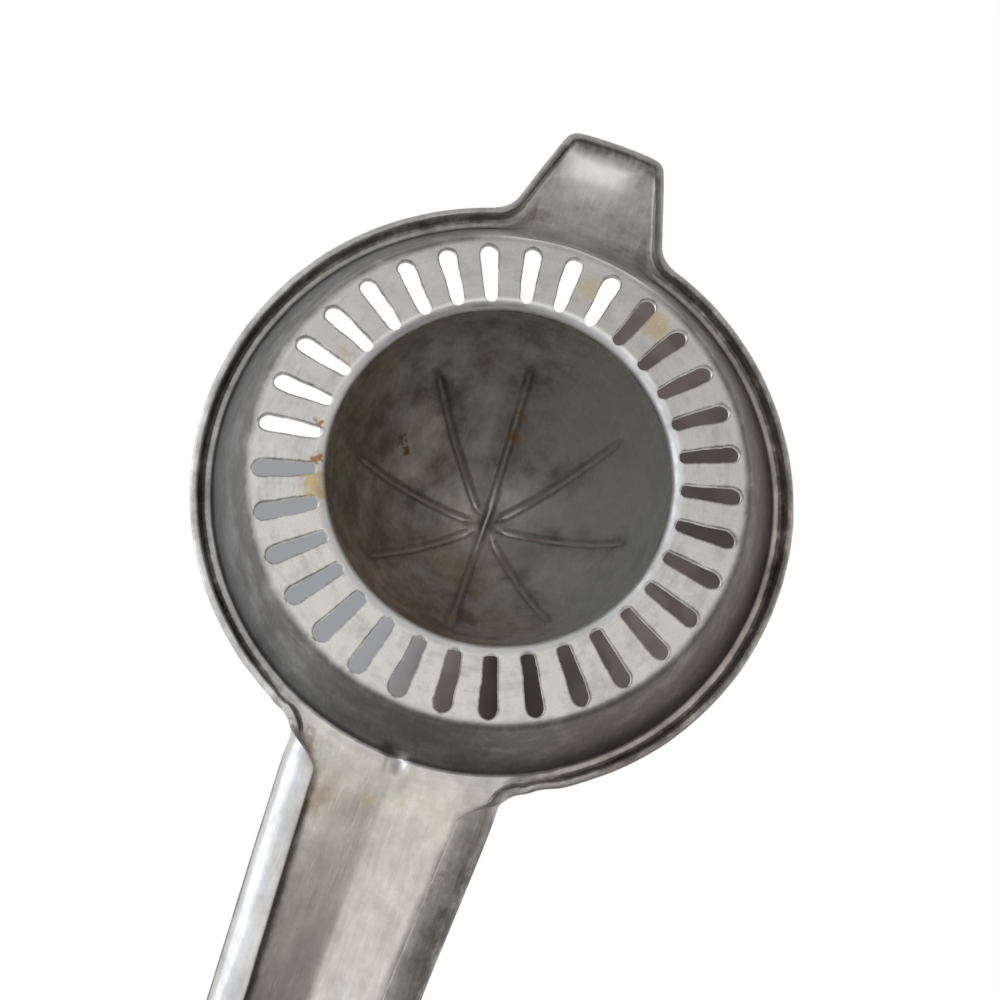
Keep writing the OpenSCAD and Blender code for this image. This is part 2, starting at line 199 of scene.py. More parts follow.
@dataclass(frozen=True)
class Form:
    """Sizes of the pressing, and the sections and outlines that follow from them.

    The sizes are those of the frame's own source. Steps are intervals along a bend or a side.
    """

    sheet_t: float = 1.2
    rim_d: float = 96.0
    bowl_depth: float = 10.0
    wall_reach: float = 10.3
    floor_fold_r: float = 1.8
    rim_edge_z: float = 8.0
    rim_lean: float = 8.0
    rim_bend_r: float = 0.5
    ledge_w: float = 0.7
    ledge_fold_r: float = 0.8
    cone_r: float = 26.5
    cone_h: float = 36.0
    cone_lean: float = 6.0
    foot_fold_r: float = 1.8
    lip_reach: float = 64.0
    lip_w: float = 16.5
    lip_spread: float = 16.5
    lip_corner_r: float = 0.6
    lip_fillet_r: float = 5.0
    lip_sweep_r: float = 14.0
    overall_l: float = 200.0
    root_w: float = 33.0
    root_x: float = 50.0
    tip_r: float = 11.4
    root_fillet_r: float = 3.8
    ridge_h: float = 1.2
    ridge_rise: float = 16.0
    curl_reach: float = 5.3
    curl_low_z: float = 5.2
    curl_wide_z: float = 8.6
    curl_shoulder_w: float = 2.4
    curl_start_l: float = 6.0
    curl_end_l: float = 12.0
    hole_d: float = 6.5
    hole_inset: float = 7.2
    bend_steps: int = 10
    sweep_steps: int = 24
    side_steps: int = 20
    ledge_steps: int = 6

    @cached_property
    def foot_c(self) -> tuple[float, float]:
        """Returns the centre of the fold at the cone's foot."""
        lean = math.radians(self.cone_lean)
        return (self.cone_r + self.foot_fold_r * math.cos(lean), self.foot_fold_r)

    @cached_property
    def rim_r(self) -> float:
        """Returns the rim's radius."""
        return self.rim_d / 2

    @cached_property
    def floor_r(self) -> float:
        """Returns the outer radius of the flat floor."""
        return self.rim_r - self.wall_reach

    @cached_property
    def bend_z(self) -> float:
        """Returns the height of the rim bend's centre."""
        return self.bowl_depth - self.rim_bend_r

    @cached_property
    def flange_l(self) -> float:
        """Returns the length of the flange's straight run."""
        lean = math.radians(self.rim_lean)
        return (self.bend_z + self.rim_bend_r * math.sin(lean) - self.rim_edge_z) / math.cos(lean)

    @cached_property
    def bend_inset(self) -> float:
        """Returns how far the rim bend's centre lies inside the silhouette."""
        lean = math.radians(self.rim_lean)
        return (self.sheet_t + self.rim_bend_r) * math.cos(lean) + self.flange_l * math.sin(lean)

    @cached_property
    def bend_r(self) -> float:
        """Returns the radius at which the rim bends down."""
        return self.rim_r - self.bend_inset

    @cached_property
    def ledge_r(self) -> float:
        """Returns the radius at which the wall's top fold ends."""
        return self.bend_r - self.ledge_w

    @cached_property
    def wall_slope(self) -> float:
        """Returns the wall's slope in degrees: it touches the folds at its foot and its top."""
        run = self.ledge_r - self.floor_r
        rise = self.bowl_depth - self.ledge_fold_r - self.floor_fold_r
        reach = math.hypot(run, rise)
        tilt = math.asin((self.floor_fold_r + self.ledge_fold_r) / reach)
        return math.degrees(math.atan2(rise, run) + tilt)

    def foot_fold(self, steps: int) -> list[Station]:
        """Returns the fold at the cone's foot, from the cone to the floor."""
        return bent(self.foot_c, self.foot_fold_r, arc(self.cone_lean - 180, -90, steps), -1)

    def floor_fold(self, steps: int) -> list[Station]:
        """Returns the fold from the floor up into the wall."""
        centre = (self.floor_r, self.floor_fold_r)
        return bent(centre, self.floor_fold_r, arc(-90, self.wall_slope - 90, steps), -1)

    def ledge_fold(self, steps: int) -> list[Station]:
        """Returns the fold from the wall out into the ledge."""
        centre = (self.ledge_r, self.bowl_depth - self.ledge_fold_r)
        return bent(centre, self.ledge_fold_r, arc(90 + self.wall_slope, 90, steps), 1)

    def flange(self, run_steps: int) -> list[Station]:
        """Returns the rim's bend and flange.

        Args:
            run_steps: Intervals along the flange's straight run.

        Returns:
            The stations, with their runs measured outwards from the bend's centre.
        """
        units = arc(90, self.rim_lean, self.bend_steps)
        bend = bent((0.0, self.bend_z), self.rim_bend_r, units, 1)
        end = bend[-1]
        lean = math.radians(self.rim_lean)
        step = Vector((math.sin(lean), -math.cos(lean))) * (self.flange_l / run_steps)
        return bend + [
            Station(end.run + step.x * i, end.z + step.y * i, end.normal_run, end.normal_z)
            for i in range(1, run_steps + 1)
        ]

    def lip_outline(self) -> list[Sample]:
        """Returns the lip's outline from its tip to the rim, on the +Y side."""
        along = polar(self.lip_spread)
        out = Vector((-along.y, along.x))
        tip_corner = Vector((-self.lip_reach, self.lip_w / 2))
        level = out.dot(tip_corner)
        bend_r = self.bend_inset + self.lip_corner_r
        corner_run = math.sqrt((self.lip_reach - bend_r) ** 2 - (level - bend_r) ** 2)
        corner_c = (level - bend_r) * out - corner_run * along
        r = self.lip_fillet_r
        fillet_run = math.sqrt((self.rim_r + r) ** 2 - (level + r) ** 2)
        fillet_c = (level + r) * out - fillet_run * along
        start, end = corner_c + bend_r * out, fillet_c - r * out
        corner_a, steps = heading(corner_c), self.side_steps
        tip = arc(180, corner_a, self.sweep_steps)
        corner = arc(corner_a, heading(out), self.bend_steps)
        fillet = arc(heading(-out), heading(-fillet_c), self.sweep_steps)
        return [
            *arc_samples(Vector((0, 0)), self.lip_reach, tip, 1),
            *arc_samples(corner_c, bend_r, corner, 1)[1:],
            *[Sample(start.lerp(end, i / steps), out) for i in range(1, steps + 1)],
            *arc_samples(fillet_c, r, fillet, -1)[1:],
        ]

    @cached_property
    def end_x(self) -> float:
        """Returns the place of the centre of the handle's rounded end."""
        return self.overall_l - self.lip_reach - self.tip_r

    @cached_property
    def taper(self) -> float:
        """Returns the angle between a side of the handle and its axis, in degrees."""
        span = Vector((self.root_w / 2, self.end_x - self.root_x))
        return math.degrees(math.acos(self.tip_r / span.length)) - heading(span)

    @cached_property
    def side_normal(self) -> Vector:
        """Returns the outward normal of the handle's +Y side."""
        return Vector((math.sin(math.radians(self.taper)), math.cos(math.radians(self.taper))))

    @cached_property
    def side_dir(self) -> Vector:
        """Returns the direction of the handle's +Y side, away from the bowl."""
        return Vector((self.side_normal.y, -self.side_normal.x))

    @cached_property
    def root_fillet_c(self) -> Vector:
        """Returns the centre of the fillet between the rim and the handle's +Y side."""
        level = self.end_x * self.side_normal.x + self.tip_r + self.root_fillet_r
        run = math.sqrt((self.rim_r + self.root_fillet_r) ** 2 - level ** 2)
        return level * self.side_normal + run * self.side_dir

    @cached_property
    def side_start(self) -> Vector:
        """Returns the point at which the handle's straight +Y side starts."""
        return self.root_fillet_c - self.root_fillet_r * self.side_normal

    @cached_property
    def side_l(self) -> float:
        """Returns the length of the handle's straight side."""
        return (Vector((self.end_x, 0)) + self.tip_r * self.side_normal - self.side_start).length

    @cached_property
    def plate_l(self) -> float:
        """Returns the length of side that belongs to the handle's end."""
        return self.tip_r / 2

    @cached_property
    def root_join(self) -> float:
        """Returns the azimuth at which the rim turns into the handle, in degrees."""
        return heading(self.root_fillet_c)

    @cached_property
    def lip_join(self) -> float:
        """Returns the azimuth at which the rim turns into the lip, in degrees."""
        return heading(self.lip_outline()[-1].point)

    def side_point(self, run: float) -> Sample:
        """Returns the sample at a run along the handle's straight side."""
        return Sample(self.side_start + run * self.side_dir, self.side_normal)

    def handle_outline(self) -> list[Sample]:
        """Returns the handle's outline from the rim to the plate of its end, on the +Y side."""
        c, n = self.root_fillet_c, self.side_steps
        start, end = self.curl_start_l, self.side_l - self.plate_l
        middle = end - self.curl_end_l
        fillet = arc(heading(-c), heading(-self.side_normal), self.bend_steps)
        samples = arc_samples(c, self.root_fillet_r, fillet, -1)
        for a, b, steps in ((0.0, start, n), (start, middle, 2 * n), (middle, end, n)):
            samples += [self.side_point(mix(a, b, i / steps)) for i in range(1, steps + 1)]
        return samples

    def curl_share(self, sample: Sample) -> float:
        """Returns how much of the full curl is there at a sample of the handle's outline.

        Args:
            sample: The sample, on the +Y side.

        Returns:
            0 where the side is a flange, and 1 where it is fully curled.
        """
        run = (sample.point - self.side_start).dot(self.side_dir)
        rising = ease((run + self.root_fillet_r / 2) / self.curl_start_l)
        return rising * ease((self.side_l - self.plate_l - run) / self.curl_end_l)

    def side_section(self, share: float) -> list[Station]:
        """Returns the section of the handle's side, with runs outwards from the silhouette.

        Args:
            share: 0 gives the rim's flange, and 1 the full curl.

        Returns:
            Stations from the edge of the web to the raw edge.
        """
        top = self.bowl_depth - self.curl_wide_z
        low = self.curl_wide_z - self.curl_low_z - self.sheet_t
        shoulder, back = self.curl_shoulder_w - self.sheet_t, self.curl_reach - self.sheet_t
        curl = [Vector((shoulder * u.x - self.curl_shoulder_w, self.curl_wide_z + top * u.y))
                for u in arc(90, 0, self.bend_steps)]
        curl += [Vector((back * u.x - self.curl_reach, self.curl_wide_z - low * u.y))
                 for u in arc(0, 90, self.side_steps)[1:]]
        flange = [Vector((s.run - self.bend_inset, s.z)) for s in self.flange(self.side_steps)]
        return chain_stations([f.lerp(c, share) for f, c in zip(flange, curl)])


def chain_stations(chain: Sequence[Vector]) -> list[Station]:
    """Returns stations along a chain of points.

    Args:
        chain: The points, from the edge of the web to the raw edge.

    Returns:
        The stations. The first normal points straight up.
    """
    stations = []
    for i, point in enumerate(chain):
        along = (chain[min(i + 1, len(chain) - 1)] - chain[max(i - 1, 0)]).normalized()
        normal = Vector((0, 1)) if i == 0 else Vector((-along.y, along.x))
        stations.append(Station(point.x, point.y, normal.x, normal.y))
    return stations


def beside(origin: Vector, along: Vector, station: Station) -> Spot:
    """Returns a station in space.

    Args:
        origin: Plan point from which its run is measured.
        along: Plan direction of its run.
        station: The station.

    Returns:
        The spot on the underside.
    """
    plan = origin + station.run * along
    rise = station.normal_run * along
    return Spot(Vector((plan.x, plan.y, station.z)), Vector((rise.x, rise.y, station.normal_z)))


def turned(station: Station, angle: float) -> Spot:
    """Returns a station in space, turned about the cone's axis by an angle in degrees."""
    return beside(Vector((0, 0)), polar(angle), station)


def mirrored(sample: Sample, side: Side) -> Sample:
    """Returns a sample of the +Y side, on the side asked for."""
    flip = Vector((1, side.value))
    return Sample(sample.point * flip, sample.normal * flip)


@dataclass
class Wear:
    """Small unevenness of the pressed sheet, the same function for every piece.

    Blender draws the offsets of its vector noise from a seed, which main() sets, so that each run
    gives the same sheet.
    """

    dent: float = 0.09
    dent_size: float = 13.0
    ripple: float = 0.045
    ripple_size: float = 3.1
    dart_h: float = 0.85
    dart_half_w: float = 1.9
    dart_r: Band = (42.6, 48.2)
    dart_ends: Band = (1.4, 3.4)
    crimp: float = 0.4
    crimp_size: float = 2.6
    crimp_at: Band = (43.0, 21.0)
    crimp_reach: float = 8.0

    def shift(self, point: Vector) -> Vector:
        """Returns how far the sheet is out of its ideal place at a point.

        It is dented and rippled all over, darted where the handle's crease meets the wall, and
        crimped where the rim turns into the handle's sides.

        Args:
            point: Point of the underside.

        Returns:
            The shift from its ideal place.
        """
        shift = noise.noise_vector(point / self.dent_size) * self.dent
        shift += noise.noise_vector(point / self.ripple_size) * self.ripple
        r, (start, end), (rise, fall) = point.xy.length, self.dart_r, self.dart_ends
        if point.x > 0 and start < r < end:
            along = ease((r - start) / rise) * ease((end - r) / fall)
            shift.z += self.dart_h * (hump(point.y / self.dart_half_w) * along)
        away = Vector((point.x, abs(point.y))) - Vector(self.crimp_at)
        crimp = self.crimp * hump(away.length / self.crimp_reach)
        return shift + noise.noise_vector(point / self.crimp_size) * crimp


class SheetMesh:
    """Underside of a formed sheet, made of patches, that is then raised by its thickness."""

    def __init__(self, form: Form, edge_dirt: float) -> None:
        """Starts an empty sheet.

        Args:
            form: Sizes of the pressing.
            edge_dirt: How dull the raw edges are.
        """
        self.form = form
        self.wear = Wear()
        self.edge_dirt = edge_dirt
        self.bm = bmesh.new()
        layers = self.bm.verts.layers
        self.rise = layers.float_vector.new("rise")
        self.raw, self.side, self.mark, self.dull = (
            layers.float.new(name) for name in ("raw", "side", "mark", "dull"))

    def patch(self, columns: int, rows: int, place: Placer, raw_row: int | None = None,
              mark: Callable[[int, int], float] | None = None) -> None:
        """Adds a patch of the underside.

        Args:
            columns: Intervals along the outline.
            rows: Intervals across the sheet.
            place: Gives the spot at a column and a row.
            raw_row: The row that is a raw edge of the sheet, where there is one.
            mark: Gives the value at a column and a row by which the finish knows a feature.
        """
        made = bmesh.ops.create_grid(self.bm, x_segments=columns, y_segments=rows, size=0.5)
        for vert in made["verts"]:
            i = round((vert.co.x + 0.5) * columns)
            j = round((vert.co.y + 0.5) * rows)
            spot = place(i, j)
            vert.co = spot.point
            vert[self.rise] = spot.rise.normalized()
            vert[self.raw] = 1.0 if j == raw_row else 0.0
            vert[self.mark] = mark(i, j) if mark else 0.0

    def patch_sections(self, sections: Sequence[Sequence[Spot]]) -> None:
        """Adds a patch of sections across the sheet, each of which ends at the raw edge."""
        last = len(sections[0]) - 1
        self.patch(len(sections) - 1, last, lambda i, j: sections[i][j], raw_row=last)

    def weld(self) -> None:
        """Joins the patches along the edges that they share."""
        bmesh.ops.remove_doubles(self.bm, verts=self.bm.verts, dist=WELD)

    def thicken(self) -> None:
        """Welds and wears the underside, and raises it by the sheet's thickness."""
        self.weld()
        for vert in self.bm.verts:
            vert.co += self.wear.shift(vert.co)
        raised = bmesh.ops.extrude_face_region(self.bm, geom=self.bm.faces[:])
        for vert in (g for g in raised["geom"] if isinstance(g, bmesh.types.BMVert)):
            vert.co += Vector(vert[self.rise]) * self.form.sheet_t
            vert[self.side] = 1.0
        bmesh.ops.recalc_face_normals(self.bm, faces=self.bm.faces)

    def round_raw_edges(self, radius: float, segments: int, crease: float = 50.0) -> None:
        """Rounds the edges that the raw border of the sheet has on both faces.

        Args:
            radius: How far the rounding reaches from the edge.
            segments: Intervals across it.
            crease: Smallest angle between the faces of an edge that is rounded, in degrees.
        """
        edges = [
            e for e in self.bm.edges
            if all(v[self.raw] > 0.5 for v in e.verts)
            and e.verts[0][self.side] == e.verts[1][self.side]
            and len(e.link_faces) == 2 and e.calc_face_angle(0.0) > math.radians(crease)
        ]
        bmesh.ops.bevel(self.bm, geom=edges, offset=radius, offset_type="OFFSET", affect="EDGES",
                        segments=segments, profile=0.5, material=-1, clamp_overlap=True)

    def finish(self, name: str, tarnish_and_shade: Callable[[Vector, float], float]) -> bpy.types.Object:
        """Returns the sheet as an object in metres, smooth apart from its folded-off edges.

        Args:
            name: Name of the object.
            tarnish_and_shade: Gives how dull the metal is at a point of its underside, 0, or upper side, 1.

        Returns:
            The object.
        """
        # The dull layer takes the dullness and dirt, and the painted shade and highlights, that the
        # zone gives.
        for vert in self.bm.verts:
            upper = vert[self.side]
            cut = self.edge_dirt * vert[self.raw] * (1 - 0.3 * upper)
            vert[self.dull] = max(tarnish_and_shade(vert.co, upper), cut)
        bmesh.ops.scale(self.bm, vec=Vector((METRES,) * 3), verts=self.bm.verts)
        piece = show_mesh(name, self.bm)
        piece.data.shade_smooth()
        piece.data.set_sharp_from_angle(angle=math.radians(SMOOTH_UP_TO))
        return piece


@dataclass(frozen=True)
class BowlTarnishAndShade:
    """How dull the bowl is, with painted shade: 0 is clean, 1 is dull and 2 is dirt or deep painted
    shade.

    The floor is rubbed and the wall is dull from its foot on. Painted light makes the wall paler
    towards its top on the +Y side and darker on the -Y side, and painted shade lies in its top
    corner, in the groove under the rim, on the flange's -Y and -X sides and in the pocket beside
    the dart, whose tongue has a painted highlight. The upper side is cleaner. A pair ending in _r,
    _y, _z or _a says at which radius, distance, height or azimuth a change starts, and where it is
    complete. For the corner and the dart, whose marks are humps, a pair is the middle and half
    the width.
    """

    floor: float = 0.03
    foot_r: Band = (37.3, 38.7)
    wall: float = 0.98
    wall_side_shading: Band = (-0.22, 0.35)
    wall_r: Band = (40.0, 44.0)
    sweep: float = 0.12
    sweep_y: Band = (19.0, 8.0)
    corner: float = 1.5
    corner_at: Band = (44.75, 0.5)
    ledge: float = 0.45
    ledge_r: Band = (44.8, 45.15)
    groove: float = 0.6
    groove_shade: Band = (0.9, 0.7)
    groove_r: Band = (45.85, 46.05)
    root_a: Band = (26.0, 36.0)
    flange: float = 0.3
    flange_shade_right: Band = (1.15, 0.9)
    flange_shade_far: float = 0.25
    flange_z: Band = (8.8, 8.3)
    flange_r: Band = (46.0, 46.3)
    dart_pocket_shade: float = 1.6
    dart_pocket_y: Band = (2.2, 1.3)
    dart_pocket_r: Band = (44.3, 1.4)
    dart_shine: float = 0.05
    dart_shine_y: Band = (-0.3, 1.7)
    dart_shine_r: Band = (43.9, 44.6)
    upper: Band = (0.22, 0.2)
    upper_r: Band = (38.0, 41.0)
    upper_end_r: Band = (46.0, 44.0)

    def at(self, point: Vector, upper: float) -> float:
        """Returns how dull the bowl is at a point.

        Args:
            point: Point of the sheet.
            upper: 1 on the upper side of the sheet, and 0 on its underside.

        Returns:
            The dullness.
        """
        r = point.xy.length
        right = ease(0.5 - point.y / (2 * r)) ** 2
        far = ease(-point.x / r)
        sweep = ramp(abs(point.y), *self.sweep_y) if point.x < 0 else 0.0
        # Painted light on the wall towards its top: paler on the +Y side, which faces the light,
        # darker on the -Y side.
        left_gain, right_gain = self.wall_side_shading
        steep = self.wall + (right_gain * right + left_gain) * ramp(r, *self.wall_r)
        dull = mix(self.floor, mix(steep, self.sweep, sweep), ramp(r, *self.foot_r))
        # Painted shade in the wall's top corner.
        dull = mix(dull, self.corner, bump(r, *self.corner_at))
        dull = mix(dull, self.ledge, ramp(r, *self.ledge_r))
        # Painted shade in the groove under the rim, deeper away from the handle.
        root = ramp(abs(heading(point.xy)), *self.root_a)
        groove = self.groove + root * (self.groove_shade[0] - self.groove_shade[1] * far)
        dull = mix(dull, groove, ramp(r, *self.groove_r))
        # Painted shade on the flange, on its -Y and -X sides.
        gain, lean = self.flange_shade_right
        flange = self.flange + gain * ease(-lean * point.y / r) + self.flange_shade_far * far
        dull = mix(dull, flange, ramp(point.z, *self.flange_z) * ramp(r, *self.flange_r))
        # Painted shade in the pocket beside the dart, and a painted highlight on its tongue.
        if point.x > 0:
            shadow = bump(point.y, *self.dart_pocket_y) * bump(r, *self.dart_pocket_r)
            glint = bump(point.y, *self.dart_shine_y) * ramp(r, *self.dart_shine_r)
            dull = mix(mix(dull, self.dart_pocket_shade, shadow), self.dart_shine, glint)
        level, gain = self.upper
        level += gain * ramp(r, *self.upper_r) * ramp(r, *self.upper_end_r)
        return mix(dull, level, upper)


BOWL_TARNISH_AND_SHADE = BowlTarnishAndShade()


@dataclass
class Zone:
    """One formed zone of the pressing: a piece that replaces CAD nodes and takes a finish."""

    form: Form
    name: str
    nodes: tuple[str, ...]
    slot: Slot
    edge_dirt: float = 0.4
    edge_r: float = 0.3
    edge_segments: int = 3

    def lay(self, sheet: SheetMesh) -> None:
        """Adds the zone's patches to its sheet."""
        raise NotImplementedError

    def emboss(self, sheet: SheetMesh) -> None:
        """Shapes the upper side of the thickened sheet. Most zones leave it as it is."""

    def tarnish_and_shade(self, point: Vector, upper: float) -> float:
        """Returns how dull the metal is at a point of the zone, with its painted shade, 0 under and
        1 on the upper side.
        """
        return BOWL_TARNISH_AND_SHADE.at(point, upper)

    def build(self) -> bpy.types.Object:
        """Returns the zone's finished mesh object."""
        sheet = SheetMesh(self.form, self.edge_dirt)
        self.lay(sheet)
        sheet.thicken()
        self.emboss(sheet)
        sheet.round_raw_edges(self.edge_r, self.edge_segments)
        return sheet.finish(self.name, self.tarnish_and_shade)

    def dress(self, piece: bpy.types.Object, material: bpy.types.Material) -> None:
        """Gives the piece its finish and its body, and hides the CAD nodes that it stands for.

        Args:
            piece: The zone's object.
            material: The finish.
        """
        piece.data.materials.append(material)
        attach(piece, BODY)
        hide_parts(*self.nodes)


@dataclass
class Cone(Zone):
    """Hollow dome with its reaming ribs."""

    columns: int = 396
    rows: int = 84
    rib_drift: tuple[float, ...] = (-1.0, -1.0, -4.0, 2.0, -3.0, 2.0, 1.0, 3.0)
    rib_h: float = 1.0
    rib_half_w: float = 2.1
    groove_depth: float = 0.85
    groove_half_w: float = 1.15
    rib_low_z: float = 14.0
    rib_fade_z: Band = (13.0, 18.0)
    rib_fade_r: Band = (1.6, 4.4)
    crest_h: float = 0.8
    crest_x: Band = (8.0, 5.0)
    halo_half_w: float = 4.5
    bulb: float = 0.8
    bulb_r: float = 21.5
    bulb_half_l: float = 4.0
    tip_round: float = 3.5
    hub_x: float = 1.0
    foot_dull: float = 0.05
    inside_dull: float = 0.76
    rib_halo_shade: float = 0.24
    upper_dull: float = 0.22

    def meridian(self) -> list[Station]:
        """Returns the cone's section from its foot to the axis."""
        form = self.form
        lean = math.radians(form.cone_lean)
        foot = form.foot_fold(1)[0]
        run, rise = -foot.run, form.cone_h - foot.z
        chord = foot.run * math.cos(lean) - rise * math.sin(lean)
        radius = (run * run + rise * rise) / (2 * chord)
        centre = Vector((foot.run, foot.z)) - radius * polar(form.cone_lean)
        top = math.degrees(math.acos(-centre.x / radius))
        stations = []
        for i, u in enumerate(arc(form.cone_lean, top, self.rows)):
            point = centre + radius * u
            run_in = max(point.x, 0.0) if i < self.rows else 0.0
            stations.append(self.rounded(Station(run_in, point.y, u.x, u.y)))
        return stations

    def rounded(self, station: Station) -> Station:
        """Returns a station with the cone's pointed top rounded off.

        Args:
            station: Station of the plain section.

        Returns:
            The station, lower and with a steeper normal where it is near the axis.
        """
        near = max(1 - station.run / self.tip_round, 0.0)
        slope = station.normal_run / station.normal_z
        drop = 0.5 * slope * self.tip_round * near * near
        normal = Vector(station[2:])
        if near:
            normal = Vector((slope * (1 - near), 1)).normalized()
        return Station(station.run, station.z - drop, normal.x, normal.y)

    def rib_share(self, station: Station, angle: float, half_w: float, crisp: float = 0.0) -> float:
        """Returns the height of the ribs at a place on the cone, as a share of their full height.

        Args:
            station: Place on the cone's section.
            angle: Its azimuth in degrees.
            half_w: Half the width of a rib.
            crisp: 0 gives a rounded rib, and 1 one that comes to a crease.

        Returns:
            The share: 0 beside the ribs, and 1 along their middle.
        """
        def profile(x: float) -> float:
            """Returns the share at a place across a rib, from -1 to 1."""
            return (1 - min(abs(x), 1.0) ** (2 - crisp)) ** (2 - crisp / 2)

        share = 0.0
        plan = polar(angle, station.run)
        plan.x -= self.hub_x * ramp(station.z, self.rib_low_z, self.form.cone_h)
        run = plan.length
        fade = ramp(station.z, *self.rib_fade_z) * ramp(run, *self.rib_fade_r)
        for i, drift in enumerate(self.rib_drift):
            off = math.radians(heading(plan) - 45 * i - drift)
            if math.cos(off) > 0:
                bulb = self.bulb * bump(run, self.bulb_r, self.bulb_half_l) if i == 0 else 0.0
                across = run * math.sin(off) / (half_w * (1 + bulb))
                share = max(share, profile(across) * fade)
        crest = profile(plan.y / half_w) * ramp(abs(plan.x), *self.crest_x)
        return max(share, self.crest_h * crest)

    def tarnish_and_shade(self, point: Vector, upper: float) -> float:
        """Returns how dull the metal is: inside, darkest above the foot, with painted shade beside
        the ribs and painted light on the sides that face the light.
        """
        x, y, z = point
        r = point.xy.length
        # Paler towards the top and round the hub, and darker at the apex.
        paler = 0.24 * ramp(z, 15, 31) + 0.14 * ramp(r, 10, 4) - 0.7 * ramp(r, 4.5, 1)
        # Painted light: paler towards -Y and -X, where the inside faces the light.
        paler += (0.25 * ramp(y, 0, -18) + 0.15 * ramp(x, 0, -20)) * ramp(r, 10, 20)
        inside = self.foot_dull + (self.inside_dull - paler) * ramp(z, 0.4, 2)
        # Painted shade beside the ribs, turning into a painted highlight beside them near the hub.
        halo = self.rib_share(Station(r, z, 0.0, 1.0), heading(point.xy), self.halo_half_w)
        halo *= self.rib_halo_shade - 0.4 * ramp(r, 14, 6)
        return mix(inside + halo, self.upper_dull + 0.12 * ramp(z, 3, 23), upper)

    def lay(self, sheet: SheetMesh) -> None:
        """Adds the cone's underside, in which the ribs are grooves."""
        stations = self.meridian()

        def groove(i: int, j: int) -> float:
            """Returns the share of a groove's depth."""
            return self.rib_share(stations[j], 360 * i / self.columns, self.groove_half_w, 1.0)

        def place(i: int, j: int) -> Spot:
            """Returns the spot, raised by the groove there."""
            spot = turned(stations[j], 360 * i / self.columns)
            return Spot(spot.point + spot.rise * (self.groove_depth * groove(i, j)), spot.rise)

        sheet.patch(self.columns, self.rows, place, mark=groove)

    def emboss(self, sheet: SheetMesh) -> None:
        """Raises the ribs on the upper side."""
        for vert in sheet.bm.verts:
            if vert[sheet.side] > 0.5:
                self.raise_rib(sheet, vert)

    def raise_rib(self, sheet: SheetMesh, vert: bmesh.types.BMVert) -> None:
        """Lifts a vertex of the upper side to the height of the rib there.

        Args:
            sheet: The thickened sheet.
            vert: The vertex.
        """
        rise = Vector(vert[sheet.rise])
        base = vert.co - rise * self.form.sheet_t - rise * self.groove_depth * vert[sheet.mark]
        station = Station(base.xy.length, base.z, rise.xy.length, rise.z)
        share = self.rib_share(station, heading(base.xy), self.rib_half_w)
        vert.co += rise * (self.rib_h * share - self.groove_depth * vert[sheet.mark])
        vert[sheet.mark] = share


